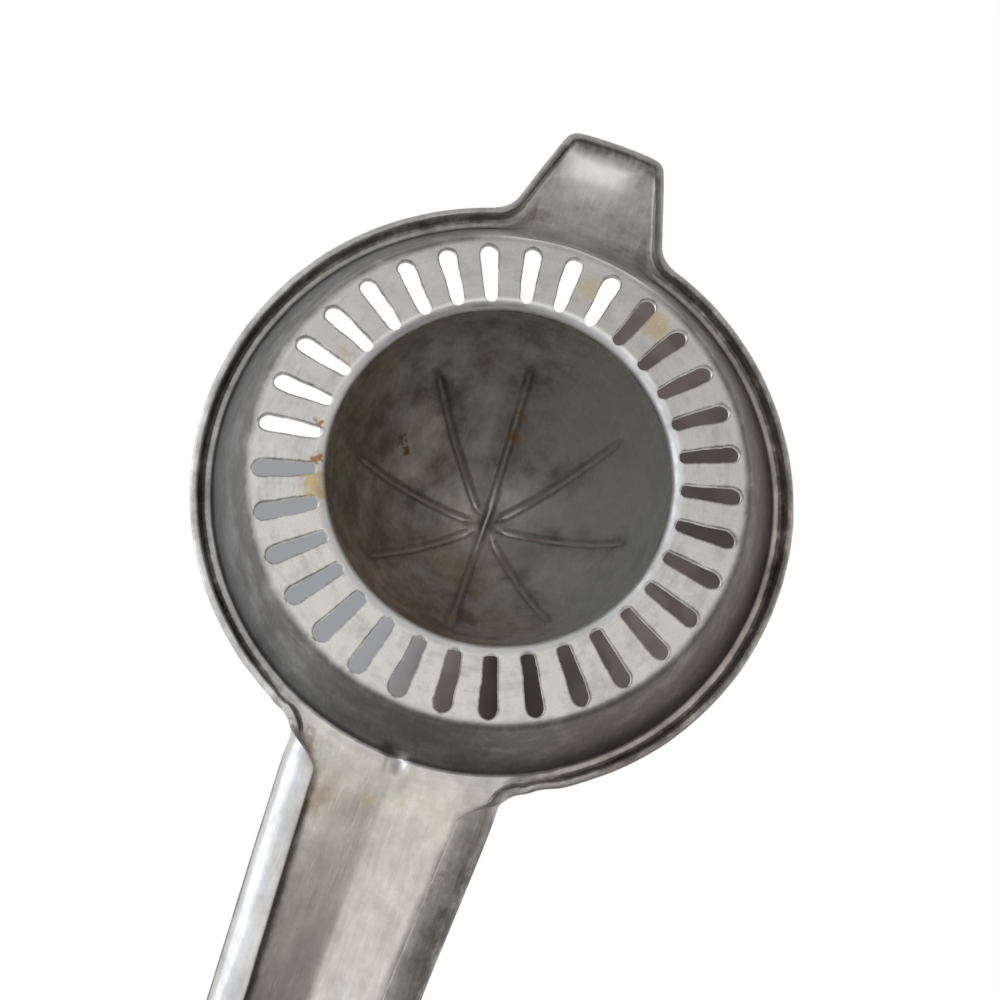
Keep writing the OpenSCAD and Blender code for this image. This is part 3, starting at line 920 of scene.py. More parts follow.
@dataclass
class Floor(Zone):
    """Flat ring with its slots, and the folds on both sides of it."""

    slot_count: int = 33
    slot_inner_w: float = 2.4
    slot_outer_w: float = 3.2
    slot_foot_run: float = 0.7
    slot_land: float = 0.3
    half_columns: int = 6
    end_rows: int = 7
    middle_rows: int = 14
    edge_dirt: float = 0.9
    edge_r: float = 0.07
    edge_segments: int = 2
    cut_share: float = 0.875
    ragged: float = 0.13
    stray: float = 0.5
    slot_top_z: float = 0.9
    foot_dull: Band = (0.6, 1.0)
    foot_z: Band = (0.5, 1.8)
    upper_dull: float = 0.22

    def station(self, r: float) -> Station:
        """Returns the station at a radius, on the flat or on the foot fold beside it.

        Args:
            r: The radius.

        Returns:
            The station.
        """
        c, fold_r = self.form.foot_c, self.form.foot_fold_r
        if r >= c[0]:
            return Station(r, 0.0, 0.0, 1.0)
        u = polar(180 + math.degrees(math.acos((c[0] - r) / fold_r)))
        return Station(r, c[1] + fold_r * u.y, -u.x, -u.y)

    @property
    def slot_start(self) -> float:
        """Returns the radius at which the slots start."""
        return self.form.foot_c[0] - self.slot_foot_run

    @property
    def slot_end(self) -> float:
        """Returns the radius at which the slots end."""
        return self.form.floor_r - self.slot_land

    def half_gap(self, r: float) -> float:
        """Returns half the width of a regular slot.

        Args:
            r: Distance from the cone's axis.

        Returns:
            Half the width, 0 past the slot's ends.
        """
        ri, ro = self.slot_inner_w / 2, self.slot_outer_w / 2
        xi, xo = self.slot_start + ri, self.slot_end - ro
        if r < xi:
            return math.sqrt(max(ri * ri - (xi - r) ** 2, 0.0))
        if r > xo:
            return math.sqrt(max(ro * ro - (r - xo) ** 2, 0.0))
        return mix(ri, ro, (r - xi) / (xo - xi))

    def cut(self, k: int, way: int, r: float) -> float:
        """Returns half the width of a slot as it was cut.

        Args:
            k: Number of the slot.
            way: Side of the slot, -1 or 1.
            r: Distance from the cone's axis.

        Returns:
            The distance from the slot's middle line to its edge.
        """
        wide = noise.noise(Vector((3.71 * k, 5.13 * way, r * 0.27)))
        rough = noise.noise(Vector((1.37 * k, 7.71 * way, r * 2.1)))
        return self.half_gap(r) * (self.cut_share + self.ragged * (wide + 0.4 * rough))

    def rows(self) -> list[Station]:
        """Returns the stations of the ring's rows, from the cone to the wall."""
        form, n = self.form, self.end_rows
        ri, ro = self.slot_inner_w / 2, self.slot_outer_w / 2
        inner, outer = self.slot_start, self.slot_end
        tip = self.station(inner)
        tip_angle = heading(Vector((-tip.normal_run, -tip.normal_z)))
        units = arc(form.cone_lean - 180, tip_angle, form.bend_steps)
        turns = [math.pi / 2 * i / n for i in range(1, n + 1)]
        radii = [inner + ri * (1 - math.cos(turn)) for turn in turns]
        start, span = radii[-1], outer - ro - radii[-1]
        radii += [start + span * i / self.middle_rows for i in range(1, self.middle_rows + 1)]
        radii += [outer - ro + ro * math.sin(turn) for turn in turns]
        return [*bent(form.foot_c, form.foot_fold_r, units, -1), *map(self.station, radii),
                *form.floor_fold(2 * form.bend_steps)]

    def tarnish_and_shade(self, point: Vector, upper: float) -> float:
        """Returns how dull the metal is: clean on the flat, and dull on the fold at the cone's
        foot, more so up the fold, where the finish paints a highlight ring.
        """
        foot = mix(mix(*self.foot_dull, ramp(point.z, *self.foot_z)), self.upper_dull, upper)
        inside = ease(self.form.foot_c[0] - point.xy.length)
        return mix(super().tarnish_and_shade(point, upper), foot, inside)

    def lay(self, sheet: SheetMesh) -> None:
        """Adds the ring's patches, one on each side of every slot."""
        rows, half_pitch = self.rows(), 180 / self.slot_count
        for k in range(self.slot_count):
            stray = self.stray * noise.noise(Vector((2.9 * k, 0.4, 0.7)))
            for way in (-1, 1):

                def place(i: int, j: int, k: int = k, stray: float = stray, way: int = way) -> Spot:
                    """Returns the spot, between the slot's edge and the middle of the land."""
                    row = rows[j]
                    gap = 0.0 if row.z > self.slot_top_z else self.cut(k, way, row.run)
                    inner = stray + way * math.degrees(math.asin(gap / row.run))
                    across = mix(inner, way * half_pitch, i / self.half_columns)
                    return turned(row, half_pitch * (2 * k + 1) + across)

                sheet.patch(self.half_columns, len(rows) - 1, place)
        sheet.weld()
        self.mark_slots(sheet)

    def mark_slots(self, sheet: SheetMesh) -> None:
        """Marks the slots' borders as raw edges."""
        for vert in sheet.bm.verts:
            if vert.is_boundary and self.slot_start - 0.1 < vert.co.xy.length < self.form.floor_r:
                vert[sheet.raw] = 1.0


@dataclass
class Wall(Zone):
    """Leaning wall of the bowl with the fold at its top, all round but for the lip."""

    columns: int = 360
    flat_rows: int = 12

    def lay(self, sheet: SheetMesh) -> None:
        """Adds the wall and its fold."""
        foot = self.form.floor_fold(1)[-1]
        rows = self.form.ledge_fold(self.form.sweep_steps)
        top, n = rows[0], self.flat_rows
        rows = [Station(mix(foot.run, top.run, i / n), mix(foot.z, top.z, i / n), *foot[2:])
                for i in range(n)] + rows

        def place(i: int, j: int) -> Spot:
            """Returns the spot, with the columns closer opposite the lip."""
            return turned(rows[j], self.form.lip_join * spread(i, self.columns))

        sheet.patch(self.columns, len(rows) - 1, place)


@dataclass
class Rim(Zone):
    """Ledge and turned-down flange on one side of the bowl."""

    side: Side = Side.LEFT
    columns: int = 150
    flange_rows: int = 3

    def lay(self, sheet: SheetMesh) -> None:
        """Adds the ledge and the flange."""
        form = self.form
        ledge, steps = form.ledge_fold(1)[-1], form.ledge_steps
        rows = [Station(ledge.run + form.ledge_w * i / steps, *ledge[1:]) for i in range(steps)]
        rows += [Station(s.run + form.bend_r, *s[1:]) for s in form.flange(self.flange_rows)]
        last = len(rows) - 1

        def place(i: int, j: int) -> Spot:
            """Returns the spot, on the way from the handle to the lip."""
            angle = mix(form.root_join, form.lip_join, i / self.columns)
            return turned(rows[j], self.side.value * angle)

        sheet.patch(self.columns, last, place, raw_row=last)


@dataclass
class Lip(Zone):
    """Pouring lip: the wall sweeps out into its face, and a flange runs round its outline."""

    wall_rows: int = 8
    face_rows: int = 18
    flange_rows: int = 4
    tip_bend_l: float = 8.5
    tip_bend_power: float = 1.4
    tip_drop: float = 0.93
    tip_sag: float = 0.5
    tip_pull: float = 0.4
    trough: float = 0.7
    trough_ends: Band = (8.0, 6.0)
    highlight_lift: float = 0.6
    highlight_reach: float = 8.0
    face: Band = (0.8, 0.42)
    face_r: Band = (41.0, 49.0)
    sweep_dull: float = 0.12
    sweep_r: Band = (40.9, 44.5)
    sweep_y: Band = (8.0, 11.5)
    tip_shade: float = 0.95
    tip_r: Band = (60.2, 61.8)
    side_flange_shade: float = 1.5
    flange_z: Band = (8.6, 8.2)
    flange_r: tuple[Band, Band] = ((62.0, 60.0), (45.6, 46.8))
    upper_dull: float = 0.2
    join_a: float = 8.0

    def section(self, sample: Sample) -> list[Spot]:
        """Returns the lip's section that ends at a sample of its outline.

        Wall, sweep and face run along the line from the floor fold to the rim bend, and the flange
        is square to the silhouette.

        Args:
            sample: Sample of the outline.

        Returns:
            The spots, from the floor's fold to the raw edge.
        """
        form = self.form
        slope = math.radians(form.wall_slope)
        wall_foot = form.floor_fold(1)[-1]
        bend = sample.point - form.bend_inset * sample.normal
        foot = sample.point.normalized() * wall_foot.run
        along = (bend - foot).normalized()
        length = (bend - foot).length
        wall_run = (form.bowl_depth - wall_foot.z) / math.tan(slope)
        reach = math.sin(slope) - (1 - math.cos(slope)) / math.tan(slope)
        r = min(form.lip_sweep_r, (length - form.ledge_w - wall_run) / reach)
        units = arc(90 + form.wall_slope, 90, form.sweep_steps)
        sweep = bent((wall_run + r * reach, form.bowl_depth - r), r, units, 1)
        start, end = Vector((0, wall_foot.z)), Vector(sweep[0][:2])
        wall = [start.lerp(end, i / self.wall_rows) for i in range(self.wall_rows)]
        gap = length - sweep[-1].run
        face = [sweep[-1].run + gap * i / self.face_rows for i in range(1, self.face_rows)]
        spots = [beside(foot, along, Station(p.x, p.y, *wall_foot[2:])) for p in wall]
        spots += [beside(foot, along, s) for s in sweep]
        spots += [beside(foot, along, Station(run, form.bowl_depth, 0.0, 1.0)) for run in face]
        spots += [beside(bend, sample.normal, s) for s in form.flange(self.flange_rows)]
        return [self.let_down(spot) for spot in spots]

    def let_down(self, spot: Spot) -> Spot:
        """Returns a spot of the lip let down softly towards the tip and the lip's middle.

        Args:
            spot: Spot of the flat lip.

        Returns:
            The spot.
        """
        form, point = self.form, spot.point.copy()
        low, r = form.rim_edge_z, point.xy.length
        near_tip = max(1 - (form.lip_reach - r) / self.tip_bend_l, 0.0) ** self.tip_bend_power
        near_tip = min(near_tip, 1.0)
        start, end = self.trough_ends
        outwards = ease((r - form.rim_r) / start) * ease((form.lip_reach + 0.5 - r) / end)
        if point.z > low:
            point.z = low + (point.z - low) * (1 - self.tip_drop * near_tip)
        point.z -= self.tip_sag * near_tip
        point.xy *= 1 - self.tip_pull * near_tip / form.lip_reach
        point.z -= self.trough * outwards * hump(point.y / form.lip_w)
        return Spot(point, spot.rise)

    def tarnish_and_shade(self, point: Vector, upper: float) -> float:
        """Returns how dull the metal is: as in the bowl at the joins, and brighter on its face,
        with a painted highlight there, painted shade before the tip and on the side flanges.
        """
        r = point.xy.length
        inwards = abs(heading(point.xy)) - self.form.lip_join
        away = (point.xy - Vector(LIP_HIGHLIGHT_AT[:2])).length
        sweep_r = mix(*self.sweep_r, ramp(abs(point.y), *self.sweep_y))
        face = mix(*self.face, ramp(r, *self.face_r)) + 0.1 * ramp(point.y, 0, -6)
        # Painted highlight: the face is painted cleaner round its centre.
        face -= self.highlight_lift * hump(away / self.highlight_reach)
        face = mix(self.sweep_dull, face, ease((r - sweep_r) / 0.8))
        # Painted shade: a dark band before the tip.
        face = mix(face, self.tip_shade, ramp(r, *self.tip_r))
        # Painted shade on the flanges along the lip's sides.
        tip, rim = self.flange_r
        flange = ramp(point.z, *self.flange_z) * ramp(r, *tip) * ramp(r, *rim)
        face = mix(max(face, self.side_flange_shade * flange), self.upper_dull, upper)
        return mix(super().tarnish_and_shade(point, upper), face, ease(inwards / self.join_a))

    def lay(self, sheet: SheetMesh) -> None:
        """Adds the lip, from its join on the +Y side to that on the -Y side."""
        half = self.form.lip_outline()
        outline = [mirrored(s, Side.LEFT) for s in reversed(half)]
        outline += [mirrored(s, Side.RIGHT) for s in half[1:]]
        sheet.patch_sections([self.section(s) for s in outline])


@dataclass
class Web(Zone):
    """Flat top of the handle with its pressed ridge."""

    columns: int = 96
    deepening: float = 1.0
    deep_x: Band = (52.0, 92.0)
    crease: Band = (0.03, 0.13)
    crease_x: Band = (48.0, 72.0)
    ridge_power: float = 1.2
    plain_dull: float = 0.12
    corner_dull: float = 0.5
    corner_y: Band = (15.0, 21.0)
    corner_x: Band = (52.0, 46.0)
    curl_shadow_depth: float = 1.1
    curl_shadow_half_w: float = 1.5
    curl_shadow_x: Band = (50.0, 56.0)
    right_curl_shadow: float = 0.35
    left_shading: float = 0.2
    left_x: Band = (57.0, 67.0)
    left_y: Band = (0.0, 1.5)

    def tarnish_and_shade(self, point: Vector, upper: float) -> float:
        """Returns how dull the metal is: dirt lies where the rim turns into the handle, with a
        painted shadow beside each curl's raw edge and painted shade on the +Y panel further along.
        """
        form, (x, y) = self.form, point.xy
        corner = self.corner_dull * ramp(abs(y), *self.corner_y) * ramp(x, *self.corner_x)
        away = (form.side_start - Vector((x, abs(y)))).dot(form.side_normal)
        # Painted shadow beside the raw edge of each curl, fainter on the -Y side.
        curl_shadow = self.curl_shadow_depth * hump((away - form.curl_reach + 0.4) / self.curl_shadow_half_w)
        curl_shadow *= ramp(x, *self.curl_shadow_x) * (1.0 if y > 0 else self.right_curl_shadow)
        # Painted shade on the +Y panel, further along the handle.
        shade = self.left_shading * ramp(x, *self.left_x) * ramp(y, *self.left_y)
        return self.plain_dull + (max(corner, curl_shadow) + shade) * (1 - upper)

    def edge(self, sample: Sample) -> Vector:
        """Returns the plan point where the web meets the handle's rounded side."""
        inset = mix(self.form.bend_inset, self.form.curl_shoulder_w, self.form.curl_share(sample))
        return sample.point - inset * sample.normal

    def ridge_at(self, x: float) -> float:
        """Returns the ridge's height.

        Args:
            x: Distance from the cone's axis along the handle.

        Returns:
            The height above the flat of the web.
        """
        form = self.form
        end_x = form.side_point(form.side_l - form.plate_l).point.x
        rise = ease((x - form.ledge_r + 0.2 * form.ridge_rise) / form.ridge_rise)
        deep = 1 + self.deepening * ramp(x, *self.deep_x)
        return form.ridge_h * deep * rise * ease((end_x - x) / form.ridge_rise)

    def lay(self, sheet: SheetMesh) -> None:
        """Adds the web. Its rows run round the bowl at first, and square to the handle later on."""
        form = self.form
        edges = [polar(form.root_join, form.ledge_r + form.ledge_w * k / form.ledge_steps)
                 for k in range(form.ledge_steps)]
        edges += [self.edge(s) for s in form.handle_outline()]
        straight_to = form.root_x + form.curl_start_l

        def place(i: int, j: int) -> Spot:
            """Returns the spot, raised by the ridge there."""
            edge = edges[j]
            across = spread(i, self.columns)
            y = edge.y * across
            share = ramp(edge.length, form.bend_r, straight_to)
            x = mix(math.sqrt(max(edge.length_squared - y * y, 0.0)), edge.x, share)
            s = math.hypot(across, mix(*self.crease, ramp(x, *self.crease_x)))
            height = self.ridge_at(x) * max(1 - s, 0.0) ** self.ridge_power
            return Spot(Vector((x, y, form.bowl_depth + height)), Vector((0, 0, 1)))

        sheet.patch(self.columns, len(edges) - 1, place)


@dataclass
class Curl(Zone):
    """Side of the handle: the rim's flange turns into a curl and back again."""

    side: Side = Side.LEFT
    left_shading: float = 0.12
    right_shading: Band = (0.95, 0.5)
    right_inset: Band = (0.0, 5.0)
    upper_dull: float = 0.25
    upper_z: Band = (8.6, 10.2)
    outline_shade_inset: Band = (0.55, 0.2)
    outline_shade_z: Band = (9.0, 7.5)
    end_dull: float = 0.12
    end_l: float = 7.0
    join_run: Band = (-2.0, 3.0)

    def tarnish_and_shade(self, point: Vector, upper: float) -> float:
        """Returns how dull the metal is, with painted light: the left side, which faces the light,
        is painted bright, and the right one painted darker towards its outside, with a painted dark
        line along the outline.
        """
        form = self.form
        from_start = Vector((point.x, abs(point.y))) - form.side_start
        run, inset = from_start.dot(form.side_dir), -from_start.dot(form.side_normal)
        plate = form.side_l - form.plate_l
        # Painted light: bright on the left curl, which faces the light, and painted shade on the
        # right one, deepest at its outside.
        kept = self.left_shading
        if self.side is Side.RIGHT:
            kept = mix(*self.right_shading, ramp(inset, *self.right_inset))
        kept = mix(kept, self.upper_dull, upper * ramp(point.z, *self.upper_z))
        # Painted shade: a dark line along the outline, low on the side.
        kept = max(kept, ramp(inset, *self.outline_shade_inset) * ramp(point.z, *self.outline_shade_z))
        kept = mix(kept, self.end_dull, ramp(run, plate - self.end_l, plate))
        return mix(super().tarnish_and_shade(point, upper), kept, ramp(run, *self.join_run))

    def lay(self, sheet: SheetMesh) -> None:
        """Adds the curled side, from the rim to the middle of the end's straight."""
        form, sections = self.form, []
        for sample in [*form.handle_outline(), form.side_point(form.side_l)]:
            placed = mirrored(sample, self.side)
            section = form.side_section(form.curl_share(sample))
            sections.append([beside(placed.point, placed.normal, s) for s in section])
        sheet.patch_sections(sections)


@dataclass
class HandleEnd(Zone):
    """Rounded end of the handle with its hanging hole and its turned-down flange."""

    tip_steps: int = 60
    side_steps: int = 12
    back_steps: int = 24
    rings: int = 8
    ring_power: float = 1.3
    flange_rows: int = 3
    plain_dull: float = 0.12

    def tarnish_and_shade(self, point: Vector, upper: float) -> float:
        """Returns how dull the metal is, the same all over."""
        return self.plain_dull

    def outline(self) -> list[Sample]:
        """Returns the end's closed outline, from the middle of its back round the +Y side."""
        form = self.form
        plate = form.side_l - form.plate_l
        corner = form.side_point(plate)
        back = corner.point - form.bend_inset * corner.normal
        samples = [Sample(Vector((back.x, back.y * i / self.back_steps)), Vector((0, 0)))
                   for i in range(self.back_steps)]
        samples += [form.side_point(mix(plate, form.side_l, i / self.side_steps))
                    for i in range(self.side_steps)]
        tip = arc(90 - form.taper, 0, self.tip_steps // 2)
        return samples + arc_samples(Vector((form.end_x, 0)), form.tip_r, tip, 1)

    def lay(self, sheet: SheetMesh) -> None:
        """Adds the pierced plate and the flange round its tip, one half after the other."""
        form, half = self.form, self.outline()
        hole = Vector((form.end_x + form.tip_r - form.hole_inset, 0))
        edges = [s.point - form.bend_inset * s.normal for s in half]
        flange = form.flange(self.flange_rows)
        for side in Side:

            def place(i: int, j: int, flip: Vector = Vector((1, side.value))) -> Spot:
                """Returns the spot, between the hole and the outline."""
                edge = edges[i] * flip
                rim = hole + (edge - hole).normalized() * (form.hole_d / 2)
                plan = rim.lerp(edge, (j / self.rings) ** self.ring_power)
                return Spot(Vector((plan.x, plan.y, form.bowl_depth)), Vector((0, 0, 1)))

            sheet.patch(len(half) - 1, self.rings, place, raw_row=0)
            tip = [mirrored(s, side) for s in half[self.back_steps + self.side_steps:]]
            sheet.patch_sections([
                [beside(s.point - form.bend_inset * s.normal, s.normal, f) for f in flange]
                for s in tip])


class Wire:
    """Output of a shader node. An expression on wires and numbers adds its Math nodes."""

    def __init__(self, graph: "Graph", socket: bpy.types.NodeSocket) -> None:
        """Wraps an output socket of one of the graph's nodes."""
        self.graph = graph
        self.socket = socket

    def math(self, operation: str, *values: "Value") -> "Wire":
        """Returns the result of one Math node on the values."""
        return self.graph.add("ShaderNodeMath", {"operation": operation}, dict(enumerate(values)))

    def __add__(self, other: "Value") -> "Wire":
        """Returns self + other."""
        return self.math("ADD", self, other)

    def __radd__(self, other: "Value") -> "Wire":
        """Returns other + self."""
        return self.math("ADD", other, self)

    def __sub__(self, other: "Value") -> "Wire":
        """Returns self - other."""
        return self.math("SUBTRACT", self, other)

    def __rsub__(self, other: "Value") -> "Wire":
        """Returns other - self."""
        return self.math("SUBTRACT", other, self)

    def __mul__(self, other: "Value") -> "Wire":
        """Returns self * other."""
        return self.math("MULTIPLY", self, other)

    def __rmul__(self, other: "Value") -> "Wire":
        """Returns other * self."""
        return self.math("MULTIPLY", other, self)

    def __truediv__(self, other: "Value") -> "Wire":
        """Returns self / other."""
        return self.math("DIVIDE", self, other)

    def most(self, other: "Value") -> "Wire":
        """Returns the larger of self and other."""
        return self.math("MAXIMUM", self, other)

    def least(self, other: "Value") -> "Wire":
        """Returns the smaller of self and other."""
        return self.math("MINIMUM", self, other)

    def step(self, low: float, high: float) -> "Wire":
        """Returns a smooth step from 0 at low to 1 at high, also where low is the larger."""
        settings = {"interpolation_type": "SMOOTHSTEP", "clamp": True}
        return self.graph.add("ShaderNodeMapRange", settings, {0: self, 1: low, 2: high})


class Graph:
    """Node tree of a material or a world."""

    def __init__(self, owner: bpy.types.Material | bpy.types.World) -> None:
        """Starts the owner's node tree afresh."""
        owner.use_nodes = True
        self.tree = owner.node_tree
        self.tree.nodes.clear()

    def node(self, kind: str, settings: Settings = None, inputs: Inputs = None) -> bpy.types.Node:
        """Adds a node.

        Args:
            kind: The node's type.
            settings: The node's own settings, set first. Stops are a ramp's places and colours.
            inputs: The values or wires of its sockets, by name or number.

        Returns:
            The node.
        """
        node = self.tree.nodes.new(kind)
        for name, setting in (settings or {}).items():
            if name == "stops":
                for i, (place, colour) in enumerate(setting):
                    elements = node.color_ramp.elements
                    stop = elements[i] if i < len(elements) else elements.new(place)
                    stop.position, stop.color = place, colour
            else:
                setattr(node, name, setting)
        for key, value in (inputs or {}).items():
            if isinstance(value, Wire):
                self.tree.links.new(value.socket, node.inputs[key])
            else:
                node.inputs[key].default_value = value
        return node

    def add(self, kind: str, settings: Settings = None, inputs: Inputs = None,
            output: str | int = 0) -> Wire:
        """Adds a node and returns one of its outputs.

        Args:
            kind: The node's type.
            settings: The node's own settings.
            inputs: The values or wires of its sockets, by name or number.
            output: Name or number of the output.

        Returns:
            The output as a wire.
        """
        return Wire(self, self.node(kind, settings, inputs).outputs[output])

    def vector(self, operation: str, inputs: Inputs, output: str | int = 0) -> Wire:
        """Returns the result of a Vector Math node."""
        return self.add("ShaderNodeVectorMath", {"operation": operation}, inputs, output)

    def join(self, x: Value, y: Value, z: Value) -> Wire:
        """Returns the vector of three values."""
        return self.add("ShaderNodeCombineXYZ", None, {0: x, 1: y, 2: z})

    def part(self, vector: Wire) -> tuple[Wire, Wire, Wire]:
        """Returns the three values of a vector."""
        x, y, z = self.node("ShaderNodeSeparateXYZ", None, {0: vector}).outputs
        return Wire(self, x), Wire(self, y), Wire(self, z)

    def blend(self, share: Value, first: Wire | Colour, second: Wire | Colour,
              kind: str = "MIX") -> Wire:
        """Returns the first colour blended towards the second by a share."""
        settings = {"data_type": "RGBA", "blend_type": kind, "clamp_factor": True}
        return self.add("ShaderNodeMix", settings, {0: share, 6: first, 7: second}, 2)

    def noise(self, place: Wire, size: float, detail: float = 2.0) -> Wire:
        """Returns noise from 0 to 1 whose features are about a size across."""
        inputs = {"Vector": place, "Scale": 1 / size, "Detail": detail}
        return self.add("ShaderNodeTexNoise", None, inputs)

    def end(self, surface: Wire, kind: str = "ShaderNodeOutputMaterial") -> None:
        """Closes the graph with its output node."""
        self.node(kind, None, {"Surface": surface})


class SheetGraph(Graph):
    """Material graph that knows the places and the marks of the pressed sheet."""

    def __init__(self, material: bpy.types.Material) -> None:
        """Adds the nodes that every finish of the sheet starts from, in millimetres."""
        super().__init__(material)
        metres = self.add("ShaderNodeTexCoord", output="Object")
        self.place = self.vector("SCALE", {0: metres, "Scale": 1 / METRES})
        self.x, self.y, self.z = self.part(self.place)
        squared = self.x * self.x + self.y * self.y
        self.radius = squared.math("SQRT", squared)
        self.out_x, self.out_y = self.x / self.radius, self.y / self.radius

    def mark(self, name: str) -> Wire:
        """Returns a mark that the mesh carries."""
        return self.add("ShaderNodeAttribute", {"attribute_name": name}, None, "Fac")

    def streaks(self) -> Wire:
        """Returns streaks that run round the bowl, and lengthwise on the handle and the lip."""
        place = self.join(self.radius - self.z, self.out_x * 6, self.out_y * 6)
        round_axis = self.noise(place, 0.8)
        along = self.noise(self.join(self.x * 0.1, self.y, self.z), 0.9)
        return round_axis + (along - round_axis) * self.radius.step(46, 54)

    def scratches(self, turn: float, size: float) -> Wire:
        """Returns fine scratches in one direction, 1 where the metal is scored."""
        mapping = self.add("ShaderNodeMapping", {"vector_type": "POINT"}, {
            "Vector": self.place, "Rotation": (0.0, 0.0, math.radians(turn)),
            "Scale": (0.08, 1.0, 0.12)})
        return self.noise(mapping, size).step(0.62, 0.68)


ORANGE: Colour = (0.42, 0.17, 0.025, 1.0)
YELLOW: Colour = (0.62, 0.47, 0.16, 1.0)
BROWN: Colour = (0.17, 0.085, 0.035, 1.0)
GOLD: Colour = (0.34, 0.22, 0.09, 1.0)
PAPER: Colour = (1.0, 1.0, 1.0, 1.0)
SHADED_TABLE_BROWN: Colour = (0.147, 0.124, 0.12, 1.0)
SHADE: Colour = (0.076, 0.066, 0.06, 1.0)
DEEP_SHADOW: Colour = (0.026, 0.021, 0.02, 1.0)
SHADED_TABLE_GREY: Colour = (0.32, 0.33, 0.345, 1.0)
# Backdrop colours by azimuth: white paper, and elsewhere the reamer's shadow on a table, painted in
# brown, grey and near black.
BACKDROP: tuple[tuple[float, Colour], ...] = (
    (0.0, PAPER), (0.045, PAPER), (0.048, SHADED_TABLE_BROWN), (0.236, SHADE), (0.333, SHADED_TABLE_BROWN), (0.40, SHADE),
    (0.445, DEEP_SHADOW), (0.485, SHADED_TABLE_BROWN), (0.545, SHADED_TABLE_GREY), (0.711, SHADED_TABLE_GREY), (0.714, PAPER),
)


@dataclass(frozen=True)
class Stain:
    """Stain on the underside: its centre and reach in millimetres, and its colour."""

    centre: Triple
    reach: float
    colour: Colour
    strength: float = 0.9


